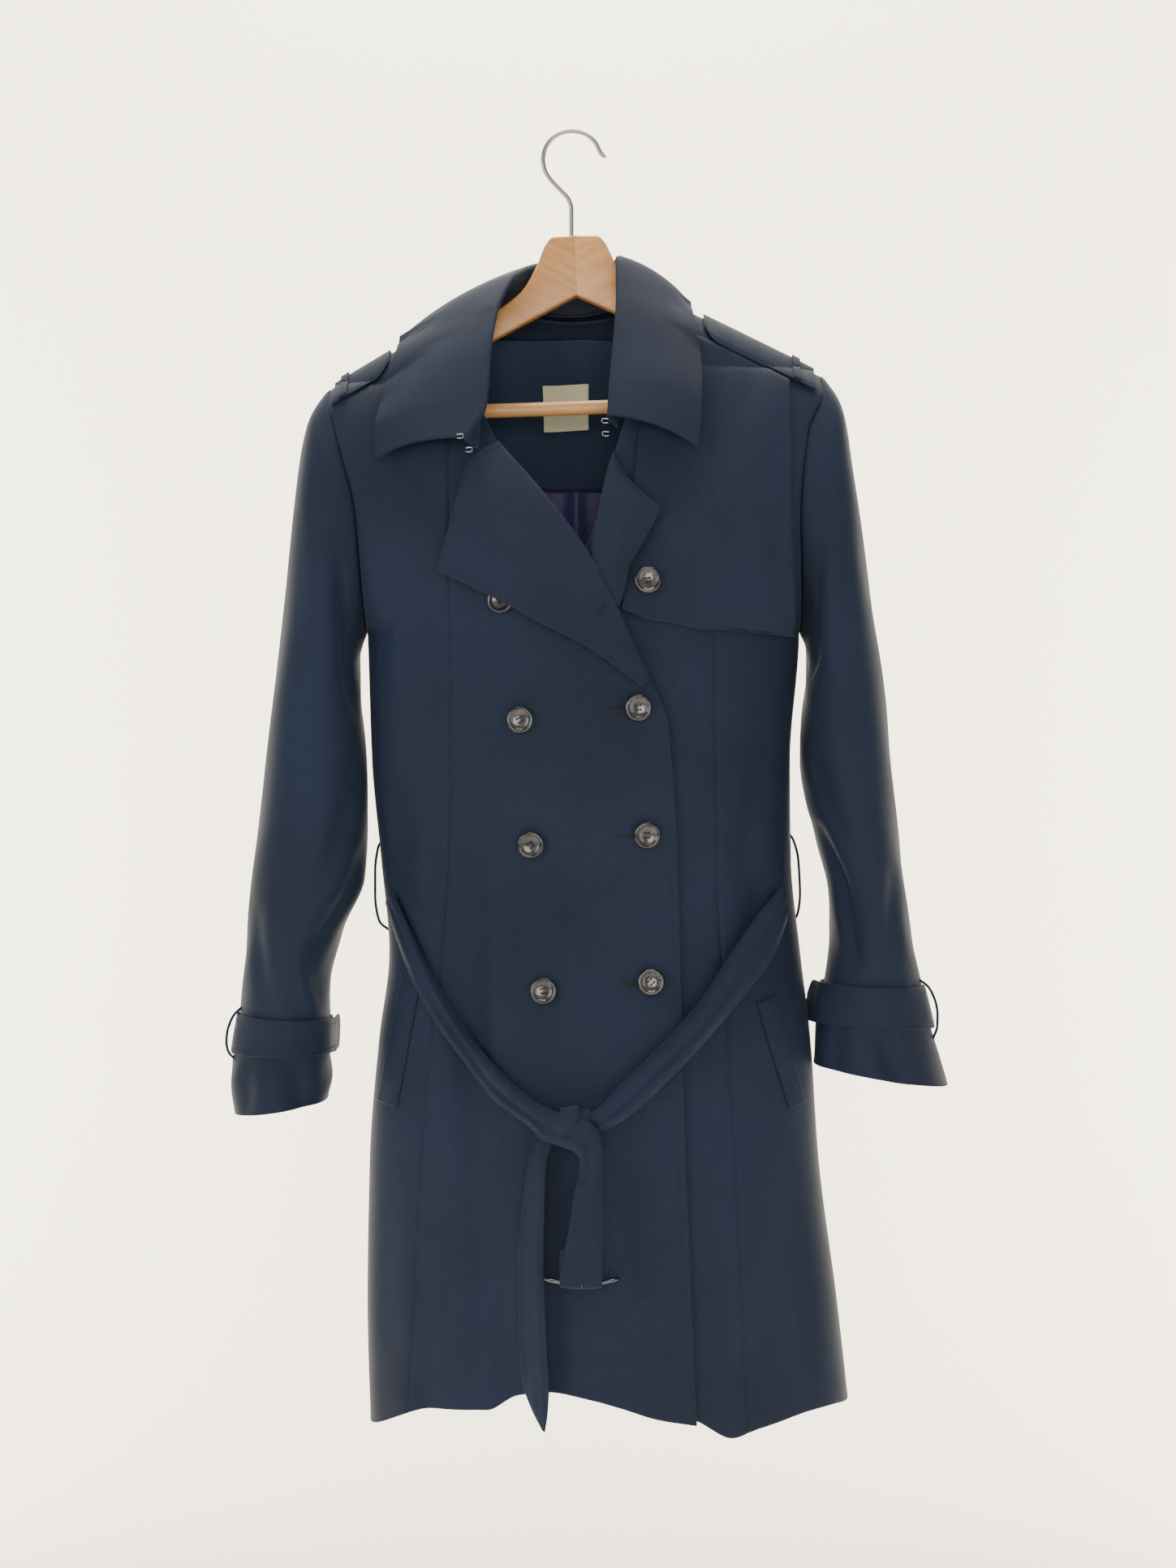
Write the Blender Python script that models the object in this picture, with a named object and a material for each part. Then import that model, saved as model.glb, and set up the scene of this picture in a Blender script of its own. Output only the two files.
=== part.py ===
"""Belted double-breasted trench coat hanging open at the neck on a wooden hanger.

Metres, +Z up, the front of the coat facing -Y and the wearer's left at +X.
The origin is the inside top of the hanger's hook, where a rail bears.
"""
import math
from itertools import accumulate

import bmesh
import bpy
from mathutils import Matrix, Vector

GAP = 0.0003              # between pieces that meet
WALL = 0.0016             # coat cloth with its interlining
DOUBLE = 0.0020           # collar, lapels, flap, straps and belt, two layers of cloth
BELT_WIDTH = 0.036

SECTION_POWER = 2.4       # how boxy a level section of the coat is, 2 being an ellipse
SHOULDER_ROUND = 0.028    # height over which the cloth rounds over the hanger's arms
OVERLAP_STEP = 0.0045     # the right front lies this far out from the left front
OVERLAP_START = -0.082    # where the right front starts to rise over the left front
OVERLAP_FULL = -0.064
ARMHOLE_ROWS = 7
ARMHOLE_DEPTH = 0.048     # half the armhole's width, front to back

for old in list(bpy.data.objects):
    bpy.data.objects.remove(old)

# ---------------------------------------------------------------- tables of the garment
# level sections of the body: height, left and right side, depth of front and back
BODY = (
    # z       left    right   front  back
    (-0.140, -0.213, 0.220, 0.020, 0.034),
    (-0.180, -0.213, 0.220, 0.031, 0.046),
    (-0.226, -0.213, 0.220, 0.042, 0.054),
    (-0.270, -0.203, 0.204, 0.053, 0.058),
    (-0.343, -0.185, 0.197, 0.068, 0.060),
    (-0.440, -0.179, 0.200, 0.079, 0.057),
    (-0.554, -0.175, 0.192, 0.079, 0.050),
    (-0.640, -0.167, 0.193, 0.073, 0.045),
    (-0.720, -0.160, 0.201, 0.074, 0.048),
    (-0.797, -0.169, 0.210, 0.082, 0.056),
    (-0.900, -0.177, 0.217, 0.088, 0.062),
    (-1.024, -0.179, 0.233, 0.092, 0.068),
    (-1.140, -0.176, 0.246, 0.094, 0.072),
)
# shoulder line from armhole to neck, seen from the front
SHOULDER = (
    # x       z
    (-0.213, -0.226),
    (-0.072, -0.143),
    (0.064, -0.138),
    (0.220, -0.214),
)
UNDERARM = -0.440
# inner edge of the right front: neck seam, roll line of the lapel, then the buttoned edge
RIGHT_EDGE = (
    # z       x
    (-0.140, -0.072),
    (-0.180, -0.074),
    (-0.240, -0.078),
    (-0.281, -0.063),
    (-0.330, -0.024),
    (-0.376, 0.010),
    (-0.423, 0.037),
    (-0.490, 0.070),
    (-0.520, 0.082),
    (-0.652, 0.091),
    (-0.860, 0.096),
    (-1.140, 0.107),
)
# inner edge of the left front, most of it under the right one
LEFT_EDGE = (
    # z       x
    (-0.138, 0.064),
    (-0.180, 0.060),
    (-0.240, 0.052),
    (-0.292, 0.037),
    (-0.335, 0.028),
    (-0.376, 0.010),
    (-0.423, -0.018),
    (-0.490, -0.050),
    (-0.540, -0.060),
    (-0.860, -0.058),
    (-1.140, -0.046),
)
# seams from shoulder to hem between each front and its side panel
RIGHT_SEAM = ((-0.140, -0.106), (-0.527, -0.103), (-0.673, -0.107), (-0.835, -0.124), (-1.140, -0.140))
LEFT_SEAM = ((-0.140, 0.122), (-0.477, 0.123), (-0.665, 0.126), (-0.819, 0.136), (-1.140, 0.150))
BACK_SEAM = ((-0.140, 0.002), (-0.477, 0.005), (-0.665, 0.009), (-0.819, 0.015), (-1.140, 0.030))
# hem heights across the fronts and the back
RIGHT_HEM = (
    # x       z
    (-0.178, -1.130),
    (-0.120, -1.103),
    (-0.070, -1.100),
    (-0.044, -1.087),
    (-0.018, -1.083),
    (0.018, -1.089),
    (0.071, -1.105),
    (0.110, -1.112),
)
LEFT_HEM = (
    # x       z
    (-0.050, -1.084),
    (0.018, -1.085),
    (0.105, -1.108),
    (0.135, -1.123),
    (0.159, -1.116),
    (0.225, -1.106),
    (0.246, -1.110),
)
BACK_HEM = ((-0.178, -1.130), (-0.080, -1.104), (0.020, -1.098), (0.130, -1.106), (0.246, -1.110))
BACK_NECK = ((-0.072, -0.143), (-0.045, -0.154), (0.0, -0.159), (0.045, -0.153), (0.064, -0.138))
# the largest folds: a line on the cloth, its depth inward (a ridge is negative) and half-width
FOLDS = (
    # side  x0      z0      x1      z1      depth   width
    (-1, -0.128, -0.500, -0.072, -0.900, 0.010, 0.020),
    (-1, -0.078, -0.860, -0.045, -1.180, 0.009, 0.024),
    (-1, -0.150, -0.560, -0.148, -0.720, 0.009, 0.014),
    (-1, 0.150, -0.600, 0.160, -0.720, 0.008, 0.016),
    (-1, 0.140, -0.860, 0.160, -1.180, -0.008, 0.026),
    (-1, -0.145, -0.380, -0.120, -0.520, 0.008, 0.018),
    (1, -0.070, -0.560, -0.060, -0.820, 0.008, 0.022),
    (1, 0.075, -0.540, 0.085, -0.800, 0.008, 0.022),
    (1, -0.090, -0.860, -0.110, -1.180, 0.010, 0.028),
    (1, 0.050, -0.880, 0.060, -1.180, 0.010, 0.028),
)


# ---------------------------------------------------------------- curves and surfaces
def along(rows, t, column=1):
    """Smooth value of a column at t, the first column, which may rise or fall."""
    rows = rows if rows[0][0] < rows[-1][0] else rows[::-1]
    keys = [row[0] for row in rows]
    values = [row[column] for row in rows]
    last = len(rows) - 1
    if t <= keys[0]:
        return values[0]
    if t >= keys[last]:
        return values[last]
    i = next(k for k in range(last) if t <= keys[k + 1])
    span = keys[i + 1] - keys[i]

    def slope(k):
        if k == 0 or k == last:
            return (values[min(k + 1, last)] - values[max(k - 1, 0)]) / (
                keys[min(k + 1, last)] - keys[max(k - 1, 0)])
        before = (values[k] - values[k - 1]) / (keys[k] - keys[k - 1])
        after = (values[k + 1] - values[k]) / (keys[k + 1] - keys[k])
        return 0.0 if before * after <= 0 else 2 * before * after / (before + after)

    w = (t - keys[i]) / span
    rise = values[i + 1] - values[i]
    a = slope(i) * span - rise
    b = rise - slope(i + 1) * span
    return values[i] + w * rise + w * (1 - w) * ((1 - w) * a + w * b)


def straight(rows, t, column=1):
    """Value of a column at t, with straight lines between rows."""
    for low, high in zip(rows, rows[1:]):
        if t <= high[0] or high is rows[-1]:
            w = (t - low[0]) / (high[0] - low[0])
            return low[column] + w * (high[column] - low[column])
    return rows[-1][column]


def smooth_step(t):
    t = min(max(t, 0.0), 1.0)
    return t * t * (3 - 2 * t)


def armhole_depth(z, top):
    """Half the armhole's width at height z, which is zero at the shoulder and the underarm."""
    middle = (top + UNDERARM) / 2
    reach = (z - middle) / (top - middle)
    return ARMHOLE_DEPTH * math.sqrt(max(0.0, 1 - reach * reach))


def fold_depth(side, x, z):
    total = 0.0
    for fold_side, x0, z0, x1, z1, depth, width in FOLDS:
        if fold_side != side:
            continue
        t = (z - z0) / (z1 - z0)
        if 0 < t < 1:
            centre = x0 + (x1 - x0) * t
            total += depth * math.sin(math.pi * t) ** 0.8 * math.exp(-((x - centre) / width) ** 2)
    return total


def turn_at(x, z):
    """Angle round the level section at which its width reaches x, from -90 to 90 degrees."""
    left, right = along(BODY, z, 1), along(BODY, z, 2)
    share = (2 * x - left - right) / (right - left)
    return math.asin(min(max(share, -1.0), 1.0))


def body_point(side, turn, z, over=0.0, lift=0.0):
    """Point of the coat's outer face: side -1 front or 1 back, turn -90..90 degrees."""
    left, right = along(BODY, z, 1), along(BODY, z, 2)
    share = math.sin(turn)
    x = (left + right) / 2 + (right - left) / 2 * share
    depth = along(BODY, z, 3 if side < 0 else 4)
    top = SHOULDER[0][1] if x < 0 else SHOULDER[-1][1]
    edge = armhole_depth(z, top)
    crown = max(0.0, 1 - abs(share) ** SECTION_POWER) ** (1 / SECTION_POWER)
    below = straight(SHOULDER, x) - z
    near = min(max(below / SHOULDER_ROUND, 0.0), 1.0)
    rounding = math.sqrt(max(0.0, 1 - (1 - near) ** 2))
    fold = fold_depth(side, x, z) * crown
    y = (edge + (depth - edge) * crown - fold) * rounding + GAP / 2
    if over:
        y += over * smooth_step((x - OVERLAP_START) / (OVERLAP_FULL - OVERLAP_START))
    return Vector((x, side * (y + lift), z))


def body_normal(side, turn, z, over=0.0):
    """Outward normal of the coat's face; level at the side seams and upright at the shoulders."""
    step = 0.004
    quarter = math.pi / 2
    a = body_point(side, max(turn - step, -quarter), z, over)
    b = body_point(side, min(turn + step, quarter), z, over)
    here = body_point(side, turn, z, over)
    roof = straight(SHOULDER, here.x)
    c = body_point(side, turn_at(here.x, z - 0.0006), z - 0.0006, over)
    d_z = min(z + 0.0006, roof)
    d = body_point(side, turn_at(here.x, d_z), d_z, over)
    normal = (b - a).cross(d - c) * -side
    if abs(turn) > quarter - 1e-6 or roof - z < 1e-6:
        normal.y = 0.0
    return normal.normalized()


def on_body(side, x, z, lift=0.0, over=0.0):
    """Point of the coat at x and z, moved out along its normal."""
    turn = turn_at(x, z)
    return body_point(side, turn, z, over) + body_normal(side, turn, z, over) * lift


# ---------------------------------------------------------------- making solids
def material(name, colour, roughness, metallic=0.0):
    made = bpy.data.materials.get(name)
    if made is None:
        made = bpy.data.materials.new(name)
        made.use_nodes = True
        shader = made.node_tree.nodes["Principled BSDF"]
        shader.inputs["Base Color"].default_value = (*colour, 1.0)
        shader.inputs["Roughness"].default_value = roughness
        shader.inputs["Metallic"].default_value = metallic
    return made


CLOTH = ("navy_cloth", (0.018, 0.026, 0.048), 0.75)
LINING = ("lining", (0.020, 0.018, 0.060), 0.45)
LABEL = ("woven_label", (0.60, 0.56, 0.42), 0.8)
BEECH = ("beech", (0.58, 0.36, 0.20), 0.5)
STEEL = ("steel_wire", (0.42, 0.42, 0.42), 0.3, 1.0)
BUTTON = ("black_resin", (0.01, 0.01, 0.012), 0.2)


def finish(name, bm, look):
    """Turn a closed bmesh into the named object, its faces pointing out."""
    bmesh.ops.recalc_face_normals(bm, faces=bm.faces)
    mesh = bpy.data.meshes.new(name)
    bm.to_mesh(mesh)
    bm.free()
    mesh.materials.append(material(*look))
    mesh.shade_smooth()
    mesh.set_sharp_from_angle(angle=math.radians(40))
    made = bpy.data.objects.new(name, mesh)
    bpy.context.scene.collection.objects.link(made)
    return made


def sheet_normals(points):
    """Unit normals of a grid of points, by the differences along its rows and columns."""
    last_row, last_column = len(points) - 1, len(points[0]) - 1
    found = []
    for i, row in enumerate(points):
        found.append([
            (row[min(j + 1, last_column)] - row[max(j - 1, 0)]).cross(
                points[min(i + 1, last_row)][j] - points[max(i - 1, 0)][j]).normalized()
            for j in range(last_column + 1)])
    return found


def sheet(name, outer, normals, wall, look, flip=False):
    """A closed cloth solid: a grid of outer points, and the same grid moved in by its wall."""
    sign = 1 if flip else -1
    bm = bmesh.new()
    layers = []
    for shift in (0.0, wall):
        layers.append([[bm.verts.new(p + n * sign * shift) for p, n in zip(row, turned)]
                       for row, turned in zip(outer, normals)])
    rows, columns = len(outer), len(outer[0])
    for layer in layers:
        for i in range(rows - 1):
            for j in range(columns - 1):
                bm.faces.new((layer[i][j], layer[i][j + 1], layer[i + 1][j + 1], layer[i + 1][j]))
    rim = [(0, j) for j in range(columns)] + [(i, columns - 1) for i in range(1, rows)]
    rim += [(rows - 1, j) for j in range(columns - 2, -1, -1)] + [(i, 0) for i in range(rows - 2, 0, -1)]
    for (i, j), (k, m) in zip(rim, rim[1:] + rim[:1]):
        bm.faces.new((layers[0][i][j], layers[0][k][m], layers[1][k][m], layers[1][i][j]))
    return finish(name, bm, look)


def tube_wall(name, rings, normals, wall, look):
    """A closed solid for a sleeve or a band: rings of outer points, moved in by the wall."""
    bm = bmesh.new()
    layers = []
    for shift in (0.0, wall):
        layers.append([[bm.verts.new(p - n * shift) for p, n in zip(ring, turned)]
                       for ring, turned in zip(rings, normals)])
    count = len(rings[0])
    for layer in layers:
        for low, high in zip(layer, layer[1:]):
            for j in range(count):
                k = (j + 1) % count
                bm.faces.new((low[j], low[k], high[k], high[j]))
    for end in (0, -1):
        for j in range(count):
            k = (j + 1) % count
            bm.faces.new((layers[0][end][j], layers[0][end][k], layers[1][end][k], layers[1][end][j]))
    return finish(name, bm, look)


def loft(name, rings, look):
    """A solid through closed rings of points, with flat ends."""
    bm = bmesh.new()
    made = [[bm.verts.new(p) for p in ring] for ring in rings]
    count = len(rings[0])
    for low, high in zip(made, made[1:]):
        for j in range(count):
            k = (j + 1) % count
            bm.faces.new((low[j], low[k], high[k], high[j]))
    bm.faces.new(made[0])
    bm.faces.new(made[-1])
    return finish(name, bm, look)


def spaced(count):
    return [k / (count - 1) for k in range(count)]


def smooth_route(knots, count):
    """Points on one smooth curve through the knots, evenly spaced by the knots' own distances."""
    gaps = [(b - a).length for a, b in zip(knots, knots[1:])]
    marks = [0.0, *accumulate(gaps)]
    tables = [[(mark, knot[axis]) for mark, knot in zip(marks, knots)] for axis in range(3)]
    return [Vector([along(rows, marks[-1] * t) for rows in tables]) for t in spaced(count)]


def wire(name, knots, radius, look, count, sides=2):
    """A round wire through the knots, with filled ends."""
    curve = bpy.data.curves.new(name, "CURVE")
    curve.dimensions = "3D"
    curve.bevel_depth = radius
    curve.bevel_resolution = sides
    curve.use_fill_caps = True
    spline = curve.splines.new("POLY")
    route = smooth_route(knots, count)
    spline.points.add(count - 1)
    for target, point in zip(spline.points, route):
        target.co = (*point, 1.0)
        target.radius = 1.0
    curve.materials.append(material(*look))
    made = bpy.data.objects.new(name, curve)
    bpy.context.scene.collection.objects.link(made)
    return made


# ---------------------------------------------------------------- hanger
HANGER_TILT = Matrix.Rotation(math.radians(-2.0), 3, "Y")   # it hangs a little to one side
ARM = (
    # reach   top      bottom   half thickness
    (0.000, -0.0915, -0.1440, 0.0070),
    (0.019, -0.0918, -0.1532, 0.0070),
    (0.026, -0.0980, -0.1566, 0.0070),
    (0.034, -0.1160, -0.1606, 0.0069),
    (0.048, -0.1380, -0.1674, 0.0067),
    (0.067, -0.1520, -0.1770, 0.0062),
    (0.110, -0.1745, -0.1980, 0.0058),
    (0.150, -0.1950, -0.2175, 0.0055),
    (0.182, -0.2130, -0.2330, 0.0050),
    (0.190, -0.2190, -0.2350, 0.0044),
)
ARM_BOW = -0.003          # the arms curve forward towards their ends
ARM_END = 0.190


def arm_section(side, reach, top, bottom, half):
    bow = ARM_BOW * (reach / ARM_END) ** 2
    corner = 0.0026
    outline = (
        (-half, top - corner), (-half + corner, top), (half - corner, top), (half, top - corner),
        (half, bottom + corner), (half - corner, bottom), (-half + corner, bottom), (-half, bottom + corner),
    )
    start = side * (reach + GAP / 2)
    return [HANGER_TILT @ Vector((start, bow + y, z)) for y, z in outline]


def hanger():
    for name, side in (("hanger_wood_right", -1), ("hanger_wood_left", 1)):
        loft(name, [arm_section(side, *row) for row in ARM], BEECH)
    bar_radius, bar_reach, bar_height, sides = 0.0062, 0.1800, -0.2425, 12
    rings = []
    for x in (-bar_reach, 0.0, bar_reach):
        bow = ARM_BOW * 0.9
        rings.append([HANGER_TILT @ Vector((
            x, bow + bar_radius * math.cos(2 * math.pi * k / sides),
            bar_height + bar_radius * math.sin(2 * math.pi * k / sides))) for k in range(sides)])
    loft("hanger_bar", rings, BEECH)

    radius, crook, middle = 0.0020, 0.0255, Vector((0.0005, 0.0, -0.0236))
    knots = [Vector((0.0, 0.0, ARM[0][1] + GAP)), Vector((0.0, 0.0, -0.078)), Vector((0.0, 0.0, -0.067)),
             Vector((-0.0025, 0.0, -0.0585)), Vector((-0.0105, 0.0, -0.0495))]
    for degrees in range(216, 10, -18):
        angle = math.radians(degrees)
        knots.append(middle + Vector((crook * math.cos(angle), 0.0, crook * math.sin(angle))))
    knots += [Vector((0.0275, 0.0, -0.0195)), Vector((0.0308, 0.0, -0.0212))]
    wire("hanger_hook", knots, radius, STEEL, 40)


# ---------------------------------------------------------------- fronts, sides and back
BODY_ROWS = 20


def row_shares(top, hem):
    """Shares of the height from top to hem: armhole rows that a sleeve repeats, then even ones."""
    upper = [(1 - math.cos(math.pi * k / ARMHOLE_ROWS)) / 2 * (top - UNDERARM) / (top - hem)
             for k in range(ARMHOLE_ROWS + 1)]
    rest = BODY_ROWS - ARMHOLE_ROWS - 1
    return upper + [upper[-1] + (1 - upper[-1]) * (k + 1) / rest for k in range(rest)]


def settle(line, place, start):
    """Height at which a column of the panel meets a line given as height by x."""
    z = start
    for _ in range(12):
        z = line(place(z))
    return z


def panel_grid(side, edges, roof, hem, columns, over=0.0):
    """Points and normals of a panel between two edges, each given as x by height."""
    first, last = edges

    def turn(t, z):
        low, high = turn_at(first(z), z), turn_at(last(z), z)
        return low + (high - low) * t

    def column_x(t):
        return lambda z: body_point(side, turn(t, z), z).x

    tops = [settle(roof, column_x(t), -0.2) for t in spaced(columns)]
    hems = [settle(hem, column_x(t), -1.1) for t in spaced(columns)]
    right = row_shares(SHOULDER[0][1], RIGHT_HEM[0][1])
    left = row_shares(SHOULDER[-1][1], LEFT_HEM[-1][1])
    points, normals = [], []
    for low_share, high_share in zip(right, left):
        row, turned = [], []
        for t, top, bottom in zip(spaced(columns), tops, hems):
            x = column_x(t)(top)
            blend = smooth_step((x - SHOULDER[0][0]) / (SHOULDER[-1][0] - SHOULDER[0][0]))
            z = top + (bottom - top) * (low_share + (high_share - low_share) * blend)
            row.append(body_point(side, turn(t, z), z, over))
            turned.append(body_normal(side, turn(t, z), z, over))
        points.append(row)
        normals.append(turned)
    return points, normals


def line_of(rows, column=1, shift=0.0):
    return lambda t: along(rows, t, column) + shift


def shoulder_roof(x):
    return straight(SHOULDER, x)


def back_roof(x):
    neck_right, neck_left = SHOULDER[1][0], SHOULDER[2][0]
    return along(BACK_NECK, x) if neck_right < x < neck_left else straight(SHOULDER, x)


def body_panels():
    half = GAP / 2
    right_hem, left_hem, back_hem = line_of(RIGHT_HEM), line_of(LEFT_HEM), line_of(BACK_HEM)
    right_side, left_side = line_of(BODY, 1), line_of(BODY, 2)
    rows = (
        # name, side, edges, roof, hem, columns, over
        ("front_right_side", -1, (right_side, line_of(RIGHT_SEAM, 1, -half)), shoulder_roof, right_hem, 5,
         0.0),
        ("front_right", -1, (line_of(RIGHT_SEAM, 1, half), line_of(RIGHT_EDGE)), shoulder_roof, right_hem,
         8, OVERLAP_STEP),
        ("front_left", -1, (line_of(LEFT_EDGE), line_of(LEFT_SEAM, 1, -half)), shoulder_roof, left_hem,
         8, 0.0),
        ("front_left_side", -1, (line_of(LEFT_SEAM, 1, half), left_side), shoulder_roof, left_hem, 5,
         0.0),
        ("back_right", 1, (right_side, line_of(BACK_SEAM, 1, -half)), back_roof, back_hem, 8, 0.0),
        ("back_left", 1, (line_of(BACK_SEAM, 1, half), left_side), back_roof, back_hem, 8, 0.0),
    )
    for name, side, edges, roof, hem, columns, over in rows:
        points, normals = panel_grid(side, edges, roof, hem, columns, over)
        sheet(name, points, normals, WALL, CLOTH)


# ---------------------------------------------------------------- sleeves
# rings down each sleeve: outer and inner point as seen from the front, half depth, forward shift
SLEEVES = {
    "right": (
        # x out   z out    x in     z in    deep   forward
        (-0.2134, -0.226, -0.1794, -0.440, 0.048, 0.000),
        (-0.2290, -0.250, -0.1840, -0.452, 0.052, 0.000),
        (-0.2410, -0.310, -0.1860, -0.470, 0.056, 0.001),
        (-0.2510, -0.409, -0.1850, -0.500, 0.058, 0.002),
        (-0.2620, -0.497, -0.1810, -0.545, 0.057, 0.004),
        (-0.2700, -0.580, -0.1780, -0.600, 0.055, 0.006),
        (-0.2790, -0.650, -0.1810, -0.655, 0.052, 0.008),
        (-0.2840, -0.705, -0.2010, -0.703, 0.050, 0.010),
        (-0.2870, -0.745, -0.2110, -0.745, 0.048, 0.010),
        (-0.2900, -0.778, -0.2110, -0.782, 0.044, 0.010),
        (-0.2950, -0.808, -0.2110, -0.808, 0.044, 0.010),
        (-0.2980, -0.830, -0.2100, -0.828, 0.047, 0.010),
        (-0.2940, -0.860, -0.2130, -0.848, 0.049, 0.010),
    ),
    "left": (
        (0.2204, -0.214, 0.2004, -0.440, 0.048, 0.000),
        (0.2360, -0.238, 0.2060, -0.452, 0.052, 0.000),
        (0.2460, -0.290, 0.2070, -0.470, 0.056, 0.001),
        (0.2560, -0.360, 0.2060, -0.490, 0.058, 0.002),
        (0.2660, -0.430, 0.2030, -0.515, 0.058, 0.003),
        (0.2750, -0.500, 0.2000, -0.550, 0.056, 0.005),
        (0.2810, -0.570, 0.2060, -0.590, 0.054, 0.007),
        (0.2880, -0.630, 0.2150, -0.622, 0.052, 0.009),
        (0.2930, -0.675, 0.2250, -0.665, 0.050, 0.010),
        (0.2990, -0.715, 0.2260, -0.705, 0.049, 0.010),
        (0.3060, -0.748, 0.2210, -0.744, 0.046, 0.010),
        (0.3150, -0.785, 0.2150, -0.780, 0.048, 0.010),
        (0.3290, -0.835, 0.2120, -0.817, 0.054, 0.010),
    ),
}
ARMHOLE_HOLD = (1.0, 0.5, 0.15)   # how far the first rings keep the armhole's own curve
RING_POINTS = 2 * ARMHOLE_ROWS


def sleeve_point(arm, place, angle, lift=0.0):
    """Point of a sleeve: place is 0 at the armhole and counts the rings down, angle 0 is outermost."""
    rows = [(k, *row) for k, row in enumerate(SLEEVES[arm])]
    out_x, out_z, in_x, in_z, deep, forward = (along(rows, place, k) for k in range(1, 7))
    outward = -1 if arm == "right" else 1
    middle = Vector(((out_x + in_x) / 2, -forward, (out_z + in_z) / 2))
    reach = Vector(((out_x - in_x) / 2, 0.0, (out_z - in_z) / 2))
    point = middle + reach * math.cos(angle) + Vector((0.0, -deep * math.sin(angle), 0.0))
    hold = along([(k, value) for k, value in enumerate((*ARMHOLE_HOLD, 0.0))], place)
    if hold > 0:
        top = SLEEVES[arm][0][1]
        z = top + (UNDERARM - top) * (1 - math.cos(angle)) / 2
        chord = SLEEVES[arm][0][0] + (SLEEVES[arm][0][2] - SLEEVES[arm][0][0]) * (1 - math.cos(angle)) / 2
        seam = along(BODY, z, 1 if arm == "right" else 2) + outward * GAP * 1.5
        point.x += (seam - chord) * hold
    if lift:
        point += sleeve_normal(arm, place, angle) * lift
    return point


def sleeve_normal(arm, place, angle):
    step, turn = 0.02, 0.03
    last = len(SLEEVES[arm]) - 1
    down = sleeve_point(arm, min(place + step, last), angle) - sleeve_point(arm, max(place - step, 0), angle)
    round_it = sleeve_point(arm, place, angle + turn) - sleeve_point(arm, place, angle - turn)
    normal = down.cross(round_it)
    if place < step:
        normal.x = 0.0
    opposite = sleeve_point(arm, place, angle) - sleeve_point(arm, place, angle + math.pi)
    return normal.normalized() * (1 if normal.dot(opposite) > 0 else -1)


def ring_angles(count=RING_POINTS):
    return [2 * math.pi * k / count for k in range(count)]


def sleeves():
    for arm, table in SLEEVES.items():
        places = list(range(len(table)))
        rings = [[sleeve_point(arm, place, angle) for angle in ring_angles()] for place in places]
        normals = [[sleeve_normal(arm, place, angle) for angle in ring_angles()] for place in places]
        tube_wall("sleeve_" + arm, rings, normals, WALL, CLOTH)


# ---------------------------------------------------------------- pieces that lie on the panels
def ruled(side, first, last, rows, columns, over=0.0):
    """Grid on the coat between two lines of (x, z, lift), straight across between them."""
    points, normals = [], []
    for t in spaced(rows):
        a = [along([(k / (len(first) - 1), *row) for k, row in enumerate(first)], t, c) for c in (1, 2, 3)]
        b = [along([(k / (len(last) - 1), *row) for k, row in enumerate(last)], t, c) for c in (1, 2, 3)]
        row, turned = [], []
        for u in spaced(columns):
            x, z = a[0] + (b[0] - a[0]) * u, a[1] + (b[1] - a[1]) * u
            lift = a[2] + (b[2] - a[2]) * u
            row.append(on_body(side, x, z, lift, over))
            turned.append(body_normal(side, turn_at(x, z), z, over))
        points.append(row)
        normals.append(turned)
    return points, normals


# lapels: the roll line, then the free edge from the notch round the corner, as x, z, lift
RIGHT_LAPEL_ROLL = (
    (-0.0620, -0.290, 0.0050), (-0.0235, -0.330, 0.0055), (0.0095, -0.376, 0.0055),
    (0.0362, -0.423, 0.0050), (0.0640, -0.486, 0.0045),
)
RIGHT_LAPEL_EDGE = (
    (-0.1126, -0.3926, 0.0080), (-0.0639, -0.4150, 0.0115), (-0.0289, -0.4360, 0.0090),
    (0.0149, -0.4577, 0.0070), (0.0600, -0.4905, 0.0045),
)
LEFT_LAPEL_ROLL = (
    (0.0390, -0.300, 0.0060), (0.0300, -0.335, 0.0070), (0.0230, -0.376, 0.0060), (0.0400, -0.418, 0.0060),
)
LEFT_LAPEL_EDGE = (
    (0.0767, -0.3411, 0.0110), (0.0629, -0.3658, 0.0110), (0.0492, -0.3905, 0.0095),
    (0.0440, -0.4180, 0.0080),
)
# gun flap on the left front: its upper and lower edge, from the centre outward
FLAP_TOP = ((0.0700, -0.160, 0.0035), (0.1100, -0.174, 0.0035), (0.1500, -0.1935, 0.0035),
            (0.1880, -0.215, 0.0040))
FLAP_LOW = ((0.0430, -0.4253, 0.0050), (0.0630, -0.4336, 0.0065), (0.1076, -0.4397, 0.0072),
            (0.1870, -0.4455, 0.0100))
POCKETS = (
    # name, slanted mouth line, back line
    ("pocket_welt_right", ((-0.1450, -0.7286, 0.0036), (-0.1670, -0.8466, 0.0036)),
     ((-0.1270, -0.7330, 0.0036), (-0.1490, -0.8500, 0.0036))),
    ("pocket_welt_left", ((0.1578, -0.7600, 0.0036), (0.1860, -0.8520, 0.0036)),
     ((0.1758, -0.7547, 0.0036), (0.2010, -0.8470, 0.0036))),
)
LAPEL_BOW = 0.004


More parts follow.
